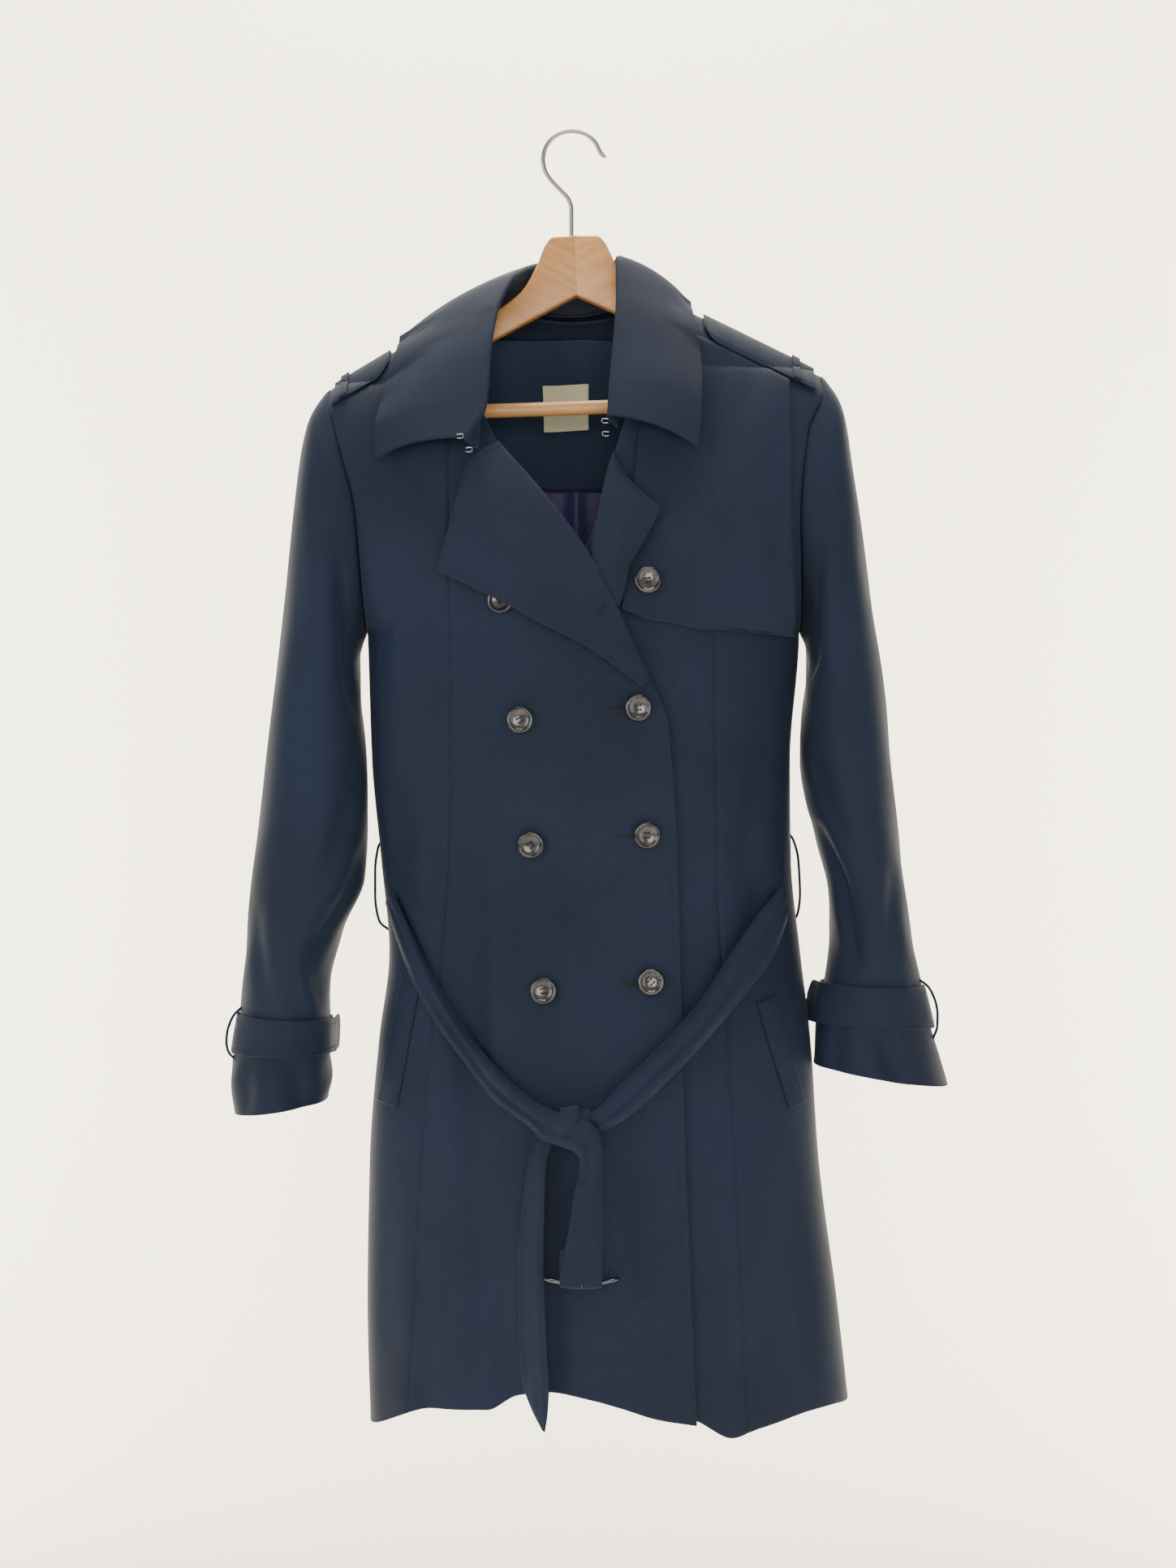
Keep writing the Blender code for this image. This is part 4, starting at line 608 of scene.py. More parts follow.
def wire(name, knots, radius, look, count, sides=12):
    """A round wire or cord through the knots, its radius one value or one for each point."""
    path = route(knots, count)
    tangents = np.gradient(path, axis=0)
    tangents /= np.linalg.norm(tangents, axis=1, keepdims=True)
    normal = np.cross(tangents[0], (0.31, 0.92, 0.22))
    rings = []
    radii = np.broadcast_to(radius, (count,))
    for point, tangent, reach in zip(path, tangents, radii):
        normal = normal - tangent * (normal @ tangent)
        normal /= np.linalg.norm(normal)
        other = np.cross(tangent, normal)
        rings.append([point + reach * (normal * math.cos(a) + other * math.sin(a))
                      for a in np.linspace(0, 2 * math.pi, sides, endpoint=False)])
    return loft(name, [ring[::-1] for ring in rings], look)


STEEL_WIRE, shader = new_material("plated steel wire", Metallic=1.0, Roughness=0.28)
shader.inputs["Base Color"].default_value = linear("#9a9a98")
knots = [(0, 0, -0.0912), (0, 0, -0.078), (0, 0, -0.067), (-0.0025, 0, -0.0585), (-0.0105, 0, -0.0495)]
for degrees in range(216, 10, -18):
    angle = math.radians(degrees)
    knots.append((0.0005 + 0.0255 * math.cos(angle), 0, -0.0236 + 0.0255 * math.sin(angle)))
knots += [(0.0275, 0, -0.0195), (0.0308, 0, -0.0212)]
radii = np.full(160, 0.0020)
radii[-4:] = (0.0019, 0.0016, 0.0011, 0.0005)
hook = wire("hanger_hook", knots, radii, STEEL_WIRE, 160, 16)
settle(hook, "steel", "hanger_hook")

# ---------------------------------------------------------------- lapels, gun flap and pocket welts
# Pieces laid on the fronts: both lapels turned back on a soft roll, the loose gun flap over the
# left chest, and a narrow welt along each slanted pocket mouth.
RIGHT_LAPEL = (
    # roll x   z        edge x   z        lift at the roll, the middle and the edge
    (-0.0640, -0.2830, -0.0885, -0.3000, 0.0050, 0.0075, 0.0070),
    (-0.0500, -0.3000, -0.1005, -0.3460, 0.0054, 0.0095, 0.0080),
    (-0.0330, -0.3190, -0.1126, -0.3926, 0.0056, 0.0115, 0.0085),
    (-0.0100, -0.3480, -0.0639, -0.4150, 0.0058, 0.0110, 0.0105),
    (0.0160, -0.3850, -0.0289, -0.4360, 0.0056, 0.0095, 0.0085),
    (0.0362, -0.4230, 0.0149, -0.4577, 0.0052, 0.0080, 0.0070),
    (0.0640, -0.4860, 0.0600, -0.4905, 0.0048, 0.0050, 0.0048),
)
LEFT_LAPEL = (
    (0.0370, -0.2940, 0.0400, -0.3060, 0.0060, 0.0070, 0.0080),
    (0.0320, -0.3180, 0.0580, -0.3240, 0.0066, 0.0095, 0.0095),
    (0.0275, -0.3400, 0.0767, -0.3411, 0.0070, 0.0120, 0.0105),
    (0.0210, -0.3700, 0.0629, -0.3658, 0.0070, 0.0120, 0.0110),
    (0.0220, -0.3920, 0.0492, -0.3905, 0.0068, 0.0110, 0.0100),
    (0.0350, -0.4180, 0.0410, -0.4230, 0.0062, 0.0075, 0.0080),
)
FLAP = (
    # top x    z        low x    z        lift at the top, the middle and the low edge
    (0.0700, -0.1600, 0.0430, -0.4253, 0.0030, 0.0035, 0.0050),
    (0.1100, -0.1740, 0.0630, -0.4336, 0.0030, 0.0040, 0.0066),
    (0.1300, -0.1835, 0.1076, -0.4397, 0.0030, 0.0045, 0.0070),
    (0.1500, -0.1935, 0.1480, -0.4430, 0.0030, 0.0040, 0.0082),
    (0.1880, -0.2150, 0.1870, -0.4455, 0.0034, 0.0040, 0.0102),
)
POCKETS = (
    # name, mouth x z, back x z at the top, then at the foot
    ("right", ((-0.1450, -0.7286, -0.1270, -0.7330), (-0.1670, -0.8466, -0.1490, -0.8500))),
    ("left", ((0.1578, -0.7600, 0.1758, -0.7547), (0.1860, -0.8520, 0.2010, -0.8470))),
)


def across(lines, shares):
    """Grid whose columns pass smoothly through the given lines of points, and lie at those shares."""
    lines = np.asarray(lines, float)
    rises = np.diff(lines, axis=0)
    slopes = np.concatenate([rises[:1], (rises[1:] + rises[:-1]) / 2, rises[-1:]])
    place = np.asarray(shares) * (len(lines) - 1)
    i = np.clip(place.astype(int), 0, len(lines) - 2)
    w = (place - i)[:, None, None]
    a, b = slopes[i] - rises[i], rises[i] - slopes[i + 1]
    grid = lines[i] + w * rises[i] + w * (1 - w) * ((1 - w) * a + w * b)
    return np.swapaxes(grid, 0, 1)


def laid(side, table, rows, columns, over=0.0, roll=0.0):
    """A piece on the coat between two lines of a table, turned under along the first one by roll."""
    keyed = [(k, *row) for k, row in enumerate(table)]
    place = (len(table) - 1) * spread(rows, 0.2)
    keys = np.arange(len(table))
    first = np.stack([along(keyed, place, k) for k in (1, 2)], -1)
    last = np.stack([np.interp(place, keys, [row[k] for row in table]) for k in (2, 3)], -1)
    lifts = [along(keyed, place, k) for k in (5, 6, 7)]
    reach = last - first
    away = reach / np.maximum(np.linalg.norm(reach, axis=-1, keepdims=True), 1e-9)
    lines = []
    if roll:
        for back, share in ((0.2, 0.0), (-0.8, 0.12), (-1.05, 0.5), (-0.6, 0.9)):
            lines.append(np.column_stack([first + away * roll * back, lifts[0] * share]))
    low, middle, high = lifts
    for share in (0.04, 0.25, 0.5, 0.75, 1.0):
        if share < 0.5:
            lift = low + (middle - low) * share * 2
        else:
            lift = middle + (high - middle) * (share * 2 - 1)
        lines.append(np.column_stack([first + reach * share, lift]))
    grid = across(lines, spread(columns, 0.3))
    return on_body(side, grid[..., 0], grid[..., 1], grid[..., 2], over)


sewn = []                 # grids and their edges that take a row of stitches
points = laid(-1, RIGHT_LAPEL, 120, 44, OVERLAP_STEP, 0.0035)[:, ::-1]
cloth_sheet("coat_lapel_right", points, 0.0012, COAT_CLOTH, 1, (), ("lapel_right",))
sewn.append(("lapel_right", points, 1, ("left", "top")))
points = laid(-1, LEFT_LAPEL, 100, 36, 0.0, 0.0035)
cloth_sheet("coat_lapel_left", points, 0.0012, COAT_CLOTH, 1, (), ("lapel_left",))
sewn.append(("lapel_left", points, 1, ("right", "top")))
points = np.swapaxes(laid(-1, FLAP, 100, 110), 0, 1)
cloth_sheet("coat_gun_flap", points, 0.0011, COAT_CLOTH, 1, ("top",), ("gun_flap",))
sewn.append(("gun_flap", points, 1, ("low",)))
for name, rows in POCKETS:
    table = [(*rows[0], 0.0015, 0.0018, 0.0012), (*rows[1], 0.0015, 0.0018, 0.0012)]
    points = laid(-1, table, 60, 14)
    points = points[:, ::-1] if points[0, 0, 0] > points[0, -1, 0] else points
    cloth_sheet("coat_pocket_welt_" + name, points, 0.0009, COAT_CLOTH, 1, (), ("pocket_welt_" + name,))
    sewn.append(("pocket_welt_" + name, points, 1, ("left", "right", "top", "low")))

# ---------------------------------------------------------------- collar
# Stand and fall of the same cloth in one turn over the roll line, open at the throat, with a
# stitched outer edge and pointed leaves. Small steel hooks and eyes are sewn to its ends.
COLLAR = (
    # seam x   y       z       roll x   y       z       edge x   y       z
    (-0.0800, -0.066, -0.2880, -0.0900, -0.074, -0.2820, -0.1660, -0.066, -0.2964),
    (-0.0790, -0.056, -0.2500, -0.0720, -0.066, -0.2500, -0.1670, -0.060, -0.2700),
    (-0.0770, -0.042, -0.2050, -0.0690, -0.054, -0.2050, -0.1620, -0.046, -0.2400),
    (-0.0740, -0.024, -0.1640, -0.0640, -0.038, -0.1680, -0.1530, -0.024, -0.2060),
    (-0.0660, -0.004, -0.1365, -0.0490, -0.011, -0.1300, -0.1480, 0.002, -0.1800),
    (-0.0560, 0.022, -0.1400, -0.0400, 0.016, -0.1180, -0.1240, 0.040, -0.1660),
    (-0.0320, 0.044, -0.1500, -0.0240, 0.042, -0.1080, -0.0700, 0.066, -0.1740),
    (0.0000, 0.050, -0.1520, 0.0020, 0.052, -0.1040, 0.0020, 0.078, -0.1840),
    (0.0320, 0.043, -0.1480, 0.0260, 0.042, -0.1060, 0.0600, 0.066, -0.1680),
    (0.0500, 0.022, -0.1330, 0.0375, 0.018, -0.1110, 0.0860, 0.042, -0.1460),
    (0.0580, -0.004, -0.1290, 0.0390, -0.010, -0.1140, 0.1020, 0.002, -0.1490),
    (0.0570, -0.024, -0.1560, 0.0390, -0.034, -0.1500, 0.1070, -0.030, -0.1760),
    (0.0500, -0.042, -0.2000, 0.0360, -0.054, -0.2000, 0.1120, -0.052, -0.2160),
    (0.0440, -0.056, -0.2350, 0.0330, -0.066, -0.2350, 0.1110, -0.066, -0.2500),
    (0.0400, -0.066, -0.2690, 0.0310, -0.074, -0.2630, 0.1080, -0.074, -0.2880),
)
COLLAR_BULGE, STAND_CLEAR, FALL_CLEAR_RIGHT, FALL_CLEAR_LEFT = 0.0065, 0.0030, 0.0068, 0.0060


def clear_of_body(points, lift):
    """The points moved off the coat until they stand at least lift away from it."""
    x, y, z = np.moveaxis(points, -1, 0)
    roof = shoulder_line(x)
    for side in (-1, 1):
        over = OVERLAP_STEP if side < 0 else 0.0
        face = body_depth(side, x, np.minimum(z, roof), over) + lift
        here = (np.sign(y) == side) & (z < roof)
        y = np.where(here, side * np.maximum(side * y, face), y)
    z = np.where((np.abs(y) < 0.012) & (z >= roof), np.maximum(z, roof + lift), z)
    return np.stack([x, y, z], -1)


rows = 200
keyed = [(k, *row) for k, row in enumerate(COLLAR)]
place = (len(COLLAR) - 1) * spread(rows, 0.15)
seam, roll, edge = (np.stack([along(keyed, place, 1 + part + axis) for axis in range(3)], -1)
                    for part in (0, 3, 6))
away = (edge - roll) * (1, 1, 0)
away /= np.linalg.norm(away, axis=-1, keepdims=True)
up = np.array((0.0, 0.0, 1.0))
clear = np.where(roll[:, 0] < 0, FALL_CLEAR_RIGHT, FALL_CLEAR_LEFT)
start = roll + away * 0.0042 + up * 0.0022
lines = [clear_of_body(seam + (roll - seam) * u, STAND_CLEAR) for u in (0.0, 0.45, 0.88)]
lines.append(clear_of_body(roll + away * 0.0014 + up * 0.0022, STAND_CLEAR))
for u in (0.03, 0.25, 0.5, 0.75, 1.0):
    bow = COLLAR_BULGE * math.sin(math.pi * u) ** 0.8
    lines.append(clear_of_body(start + (edge - start) * u + (up * 0.8 + away * 0.35) * bow, clear))
points = across(lines, np.concatenate([np.linspace(0, 0.3, 14), np.linspace(0.3, 0.55, 22)[1:],
                                       0.55 + 0.45 * spread(28, 0.4)[1:]]))
soft = np.sin(place[:, None] * 2.1) * np.linspace(0, 1, points.shape[1]) ** 2
points[..., 2] += 0.0012 * soft * (np.abs(place[:, None] - 7) < 6)
cloth_sheet("coat_collar", points, 0.0013, COAT_CLOTH, -1, ("left",), ("collar_stand", "collar_fall"))
sewn.append(("collar", points, -1, ("right", "top", "low")))

STEEL_SMALL, shader = new_material("nickel wire", Metallic=1.0, Roughness=0.22)
shader.inputs["Base Color"].default_value = linear("#8f9196")
COLLAR_HOOKS = (
    # name, x, y, z, the way it points
    ("collar_hook_upper", -0.0935, -0.0800, -0.2790, 1),
    ("collar_hook_lower", -0.0860, -0.0800, -0.2905, 1),
    ("collar_eye_upper", 0.0290, -0.0800, -0.2660, -1),
    ("collar_eye_lower", 0.0295, -0.0800, -0.2770, -1),
)
for name, x, y, z, way in COLLAR_HOOKS:
    knots = [(x + way * dx, y + dy, z + dz) for dx, dy, dz in (
        (-0.0026, 0.0, 0.0014), (0.0008, 0.0, 0.0019), (0.0027, -0.0010, 0.0008),
        (0.0026, -0.0011, -0.0008), (0.0006, 0.0, -0.0019), (-0.0026, 0.0, -0.0016))]
    settle(wire("coat_" + name, knots, 0.00042, STEEL_SMALL, 48, 10), "steel", name)

# ---------------------------------------------------------------- epaulettes
# Double straps over the shoulders, sewn into the sleeve seams, each under a narrow carrier.
EPAULETTES = (("right", -0.1580, -0.2060, 0.0026), ("left", 0.1150, 0.2110, 0.0034))
for name, neck_end, sleeve_end, lift in EPAULETTES:
    carrier = sleeve_end - (sleeve_end - neck_end) * 0.14
    width = 0.006 if sleeve_end > 0 else -0.006
    for piece, ends, rise, thick, columns in (
            ("epaulette_", (neck_end, sleeve_end), 0.0, 0.0013, 80),
            ("epaulette_carrier_", (carrier - width, carrier), 0.0022, 0.0010, 16)):
        low, high = sorted(ends)
        x = low + (high - low) * spread(columns, 0.3)
        share = np.concatenate([np.linspace(1, 0.06, 26), np.linspace(0.06, 1, 26)])[:, None]
        side = np.repeat([-1, 1], 26)[:, None]
        tip = np.abs(x - neck_end) / 0.012
        narrow = 1 - 0.45 * np.clip(1 - tip, 0, 1) ** 2 * (piece == "epaulette_")
        drop = 0.0235 * share ** 2 * narrow
        grid_x = np.broadcast_to(x, drop.shape)
        grid_z = shoulder_line(grid_x) - drop
        front = on_body(-1, grid_x, grid_z, lift + rise)
        back = on_body(1, grid_x, grid_z, lift + rise)
        points = np.where((side < 0)[..., None], front, back)[::-1]
        cloth_sheet("coat_" + piece + name, points, thick, COAT_CLOTH, 1, (), (piece + name,))
        if piece == "epaulette_":
            sewn.append((piece + name, points, 1, ("top", "low", "left" if name == "left" else "right")))

# ---------------------------------------------------------------- cuff straps
# A strap round each sleeve above the cuff, held by thread carriers, its pointed end standing off.
CUFF_STRAPS = (
    # arm     top    low    start  sweep  how far the end stands off
    ("right", 8.85, 9.95, 200.0, 386.0, 0.0120),
    ("left", 10.05, 11.00, 168.0, 388.0, 0.0060),
)
for arm, top, low, begin, sweep, off in CUFF_STRAPS:
    t, u = np.meshgrid(spread(190, 0.1), spread(16, 0.4), indexing="ij")
    taper = 0.5 * smooth_step((t - 0.962) / 0.038) * 0.96
    share = taper + (1 - 2 * taper) * u
    angle = np.radians(begin + sweep * t)
    lift = 0.0030 + 0.0036 * smooth_step((sweep * t - 330) / 30) + off * smooth_step((t - 0.93) / 0.07)
    lift = lift + 0.0007 * np.sin(angle * 5) * np.sin(math.pi * u)
    place = top + (low - top) * share
    points = sleeve_base(arm, place, angle) + sleeve_normal(arm, place, angle) * lift[..., None]
    points = np.swapaxes(points, 0, 1)
    way = 1 if arm == "right" else -1
    cloth_sheet("coat_cuff_strap_" + arm, points, 0.0012, COAT_CLOTH, way, (), ("cuff_strap_" + arm,))
    sewn.append(("cuff_strap_" + arm, points, way, ("top", "low")))
    knots = []
    for t in np.linspace(0, 1, 7):
        place = top - 0.22 + (low - top + 0.44) * t
        knots.append(sleeve_base(arm, place, math.radians(18)) + sleeve_normal(
            arm, place, math.radians(18)) * (0.0105 * max(math.sin(math.pi * t), 0.0) ** 0.6 - 0.001))
    cord = wire("coat_cuff_carrier_" + arm, knots, 0.0012, COAT_CLOTH, 40, 10)
    settle(cord, "coat_cloth", "cuff_carrier_" + arm)

# ---------------------------------------------------------------- inside of the neck
# Facing of coat cloth across the back neck, piped along its lower edge, the satin lining below
# it and a plain woven label sewn at its two sides. The facing's cloth is a lighter copy of the
# coat's gabardine: painted light in the shaded neck.
LINING = woven("satin lining", "#29264c", "#36325f", 0.0005, 0.42, 0.1, 0.08)
LABEL_CLOTH = woven("woven label", "#c6bf9f", "#d8d2b6", 0.0007, 0.75, 0.1, 0.25)
# A lighter copy of the coat's gabardine: painted light on the facing inside the shaded neck.
LIT_FACING_CLOTH = woven("gabardine facing painted lighter", "#182234", "#263349", 0.0009, 0.75, 0.05, 0.2)
INSIDE = (
    # node, top, low, half width, depths down the piece, material, slot
    ("neck_facing", -0.174, -0.306, 0.082, (-0.0080, -0.0048, -0.0040), LIT_FACING_CLOTH, "coat_cloth"),
    ("back_lining", -0.308, -0.440, 0.088, (-0.0030, -0.0040, -0.0040), LINING, "lining"),
)
for name, top, low, half, depths, look, slot in INSIDE:
    z, x = np.meshgrid(np.linspace(top, low, 60), np.linspace(-half, half, 70), indexing="ij")
    depth = np.interp(z, (low, (top + low) / 2, top), depths[::-1])
    if name == "back_lining":
        for centre, width, deep in ((0.004, 0.006, 0.0035), (-0.030, 0.010, 0.0020)):
            depth = depth - deep * np.exp(-((x - centre) / width) ** 2)
    points = on_body(1, x, z, depth)
    cloth_sheet("coat_" + name, points, 0.0007, look, 1, (), (name,))
z, x = np.full(60, -0.3072), np.linspace(-0.082, 0.082, 60)
piping = wire("coat_facing_piping", on_body(1, x, z, np.full(60, -0.0058)), 0.0011, COAT_CLOTH, 120, 8)
settle(piping, "coat_cloth")
corners = ((-0.0265, -0.2140), (0.0145, -0.2120), (0.0155, -0.2530), (-0.0255, -0.2550))
s, t = np.meshgrid(np.linspace(0, 1, 30), np.linspace(0, 1, 30), indexing="ij")
shares = ((1 - s) * (1 - t), (1 - s) * t, s * t, s * (1 - t))
x, z = (sum(share * corner[k] for share, corner in zip(shares, corners)) for k in (0, 1))
points = on_body(1, x, z, -0.0078 - 0.0008 * np.sin(math.pi * s) * np.sin(math.pi * t))
cloth_sheet("coat_label", points, 0.0004, LABEL_CLOTH, 1, (), ("label",))

# ---------------------------------------------------------------- belt
# Double belt of coat cloth, hung in thread loops at the sides, crossed and knotted in front, one
# end plain and pointed, the other folded round the buckle's bar and stitched.
RIGHT_BELT = (
    # upper x  z        out     lower x  z        out     bow
    (-0.1530, -0.6680, 0.0060, -0.1630, -0.6760, 0.0060, 0.0040),
    (-0.1418, -0.6905, 0.0060, -0.1540, -0.7000, 0.0060, 0.0060),
    (-0.1150, -0.7406, 0.0060, -0.1330, -0.7480, 0.0060, 0.0080),
    (-0.0813, -0.7908, 0.0070, -0.0985, -0.7990, 0.0060, 0.0095),
    (-0.0480, -0.8240, 0.0100, -0.0640, -0.8400, 0.0080, 0.0105),
    (-0.0250, -0.8400, 0.0170, -0.0350, -0.8590, 0.0150, 0.0100),
    (-0.0110, -0.8450, 0.0250, -0.0235, -0.8690, 0.0220, 0.0070),
    (0.0060, -0.8480, 0.0330, -0.0110, -0.8720, 0.0290, 0.0060),
    (0.0190, -0.8540, 0.0365, 0.0010, -0.8750, 0.0340, 0.0050),
    (0.0250, -0.8660, 0.0360, 0.0075, -0.8830, 0.0350, 0.0045),
    (0.0265, -0.8850, 0.0340, 0.0075, -0.8950, 0.0345, 0.0040),
    (0.0262, -0.9100, 0.0360, 0.0035, -0.9100, 0.0360, 0.0030),
    (0.0262, -0.9350, 0.0395, 0.0000, -0.9350, 0.0395, 0.0020),
    (0.0258, -0.9600, 0.0420, -0.0050, -0.9600, 0.0420, 0.0008),
    (0.0256, -0.9770, 0.0425, -0.0080, -0.9770, 0.0425, 0.0000),
)
LEFT_BELT = (
    (0.1830, -0.6600, 0.0060, 0.1850, -0.6900, 0.0060, 0.0040),
    (0.1640, -0.6800, 0.0060, 0.1730, -0.7180, 0.0060, 0.0065),
    (0.1339, -0.7207, 0.0060, 0.1480, -0.7500, 0.0060, 0.0080),
    (0.1119, -0.7537, 0.0060, 0.1220, -0.7790, 0.0060, 0.0090),
    (0.0768, -0.7922, 0.0070, 0.0900, -0.8130, 0.0070, 0.0100),
    (0.0400, -0.8270, 0.0150, 0.0500, -0.8480, 0.0150, 0.0090),
    (0.0230, -0.8430, 0.0240, 0.0290, -0.8590, 0.0240, 0.0050),
    (0.0120, -0.8500, 0.0240, 0.0140, -0.8620, 0.0240, 0.0030),
)
PLAIN_END = (
    (-0.0270, -0.8560, 0.0080, -0.0080, -0.8640, 0.0160, 0.0040),
    (-0.0330, -0.8750, 0.0110, -0.0185, -0.8800, 0.0210, 0.0040),
    (-0.0375, -0.9000, 0.0090, -0.0215, -0.9000, 0.0225, 0.0035),
    (-0.0440, -0.9750, 0.0060, -0.0225, -0.9750, 0.0215, 0.0030),
    (-0.0430, -1.0400, 0.0055, -0.0205, -1.0400, 0.0205, 0.0030),
    (-0.0410, -1.0720, 0.0060, -0.0185, -1.0740, 0.0195, 0.0025),
    (-0.0330, -1.0950, 0.0090, -0.0195, -1.0960, 0.0180, 0.0015),
    (-0.0235, -1.1120, 0.0130, -0.0220, -1.1125, 0.0145, 0.0000),
)
WRAP = (
    (-0.0080, -0.8480, 0.0060, 0.0060, -0.8450, 0.0060, 0.0010),
    (-0.0082, -0.8425, 0.0180, 0.0062, -0.8405, 0.0180, 0.0020),
    (-0.0090, -0.8440, 0.0280, 0.0068, -0.8420, 0.0290, 0.0030),
    (-0.0120, -0.8530, 0.0330, 0.0085, -0.8500, 0.0350, 0.0035),
    (-0.0150, -0.8650, 0.0290, 0.0125, -0.8650, 0.0352, 0.0035),
)
TUCK = (
    (0.0070, -0.8480, 0.0060, 0.0165, -0.8480, 0.0060, 0.0010),
    (0.0078, -0.8430, 0.0180, 0.0170, -0.8440, 0.0180, 0.0020),
    (0.0088, -0.8480, 0.0270, 0.0172, -0.8490, 0.0270, 0.0020),
    (0.0120, -0.8640, 0.0300, 0.0160, -0.8660, 0.0300, 0.0010),
)
BELT_SECTION = ((0.0, 0.0), (0.14, 0.62), (0.34, 1.0), (0.58, 0.70), (0.76, 0.86), (1.0, 0.0))


def ribbon(table, rows, columns, section=BELT_SECTION, over=OVERLAP_STEP):
    """A strip in front of the coat between two edges, bowed out between them by a section."""
    keyed = [(k, *row) for k, row in enumerate(table)]
    place = (len(table) - 1) * np.linspace(0, 1, rows)[:, None]
    x0, z0, out0, x1, z1, out1, bow = (along(keyed, place, k) for k in range(1, 8))
    u = spread(columns, 0.3)
    x, z = x0 + (x1 - x0) * u, z0 + (z1 - z0) * u
    out = out0 + (out1 - out0) * u + bow * along(section, u)
    out = out + 0.0008 * np.sin(place * 4.1 + 2 * u) * np.sin(math.pi * u) * smooth_step(bow / 0.004)
    face = body_depth(-1, x, np.maximum(z, -1.09), over)
    return np.stack([x, -face - out, z], -1)


BAR, BAR_RADIUS, BUCKLE_BOW = np.array((0.0095, -0.1360, -0.9790)), 0.0017, 0.0045
BUCKLE_WIDTH, BUCKLE_HEIGHT, BUCKLE_PITCH = 0.060, 0.036, math.radians(11.5)


def bar_sag(x):
    return -BUCKLE_BOW * (1 - ((x - BAR[0]) / (BUCKLE_WIDTH / 2)) ** 2)


front = ribbon(RIGHT_BELT, 330, 26)
u = spread(26, 0.3)
turned = []
for degrees in np.linspace(0, 180, 19):
    angle = math.radians(degrees)
    x = 0.0256 + (-0.0080 - 0.0256) * u
    reach = BAR_RADIUS + 0.0022
    turned.append(np.stack([x, BAR[1] - reach * math.cos(angle) + 0 * x,
                            BAR[2] + bar_sag(x) - reach * math.sin(angle)], -1))
for z in (-0.9700, -0.9620, -0.9560):
    turned.append(np.stack([x, BAR[1] + reach + 0 * x, z + 0 * x], -1))
turned = np.array(turned)
tail = front[-24:]
blend = smooth_step(np.linspace(0, 1, 24))[:, None]
tail[..., 1] = tail[..., 1] * (1 - blend) + turned[0, :, 1] * blend
tail[..., 2] = tail[..., 2] + (turned[0, :, 2] + 0.0020 - tail[-1, :, 2]) * blend
points = np.concatenate([front, turned])[:, ::-1]
cloth_sheet("belt_right", points, 0.0014, COAT_CLOTH, 1, (), ("belt_run_right", "belt_end_buckle"))
sewn.append(("belt_right", points[:345], 1, ("left", "right")))
points = ribbon(LEFT_BELT, 200, 26)
cloth_sheet("belt_left", points, 0.0014, COAT_CLOTH, -1, (), ("belt_run_left",))
sewn.append(("belt_left", points, -1, ("left", "right")))
points = ribbon(PLAIN_END, 200, 22)
cloth_sheet("belt_plain_end", points, 0.0014, COAT_CLOTH, 1, (), ("belt_end_plain",))
sewn.append(("belt_plain_end", points, 1, ("left", "right")))
for name, table, nodes in (("belt_wrap", WRAP, ("belt_knot",)), ("belt_tuck", TUCK, ())):
    points = ribbon(table, 60, 20, ((0.0, 0.0), (0.3, 0.9), (0.7, 1.0), (1.0, 0.0)))
    cloth_sheet(name, points, 0.0014, COAT_CLOTH, 1, (), nodes)
core = []
for across_it in np.linspace(-1, 1, 15):
    swell = 0.92 * math.sqrt(max(0.06, 1 - across_it ** 2 * 0.94))
    centre = np.array((0.004, -0.1120, -0.8570)) + np.array((0.014, 0.0, 0.006)) * across_it
    core.append([centre + np.array((-0.0080 * math.cos(a), -0.0120 * math.sin(a), 0.0125 * math.cos(a))) * swell
                 for a in np.linspace(0, 2 * math.pi, 24, endpoint=False)])
settle(loft("belt_knot_inner", core, COAT_CLOTH), "coat_cloth")

t, u = np.meshgrid(np.linspace(0, 1, 160), spread(22, 0.3), indexing="ij")
x = -0.1580 + 0.3440 * (1 - np.cos(np.pi * t)) / 2
pinch = 0.010 * (1 - np.sin(np.pi * t) ** 0.5)
z = -0.6690 - 0.012 * np.sin(np.pi * t) - pinch / 2 - (0.036 - pinch) * u
lift = 0.0045 + 0.0016 * np.sin(x * 60) * np.sin(math.pi * u)
points = np.swapaxes(on_body(1, x, z, lift), 0, 1)
cloth_sheet("belt_back_strap", points, 0.0014, COAT_CLOTH, -1, (), ("belt_back",))
sewn.append(("belt_back", points, -1, ("top", "low")))

BELT_LOOPS = (
    ("belt_loop_right", ((-0.1655, -0.002, -0.6200), (-0.1700, -0.002, -0.6290), (-0.1725, -0.002, -0.6480),
                         (-0.1725, -0.002, -0.6720), (-0.1690, -0.002, -0.6930), (-0.1560, -0.002, -0.7040))),
    ("belt_loop_left", ((0.1840, -0.002, -0.6120), (0.1940, -0.002, -0.6200), (0.1995, -0.002, -0.6400),
                        (0.2010, -0.002, -0.6700), (0.1985, -0.002, -0.6880), (0.1850, -0.002, -0.7000))),
)
for name, knots in BELT_LOOPS:
    settle(wire("coat_" + name, knots, 0.0012, COAT_CLOTH, 60, 10), "coat_cloth", name)

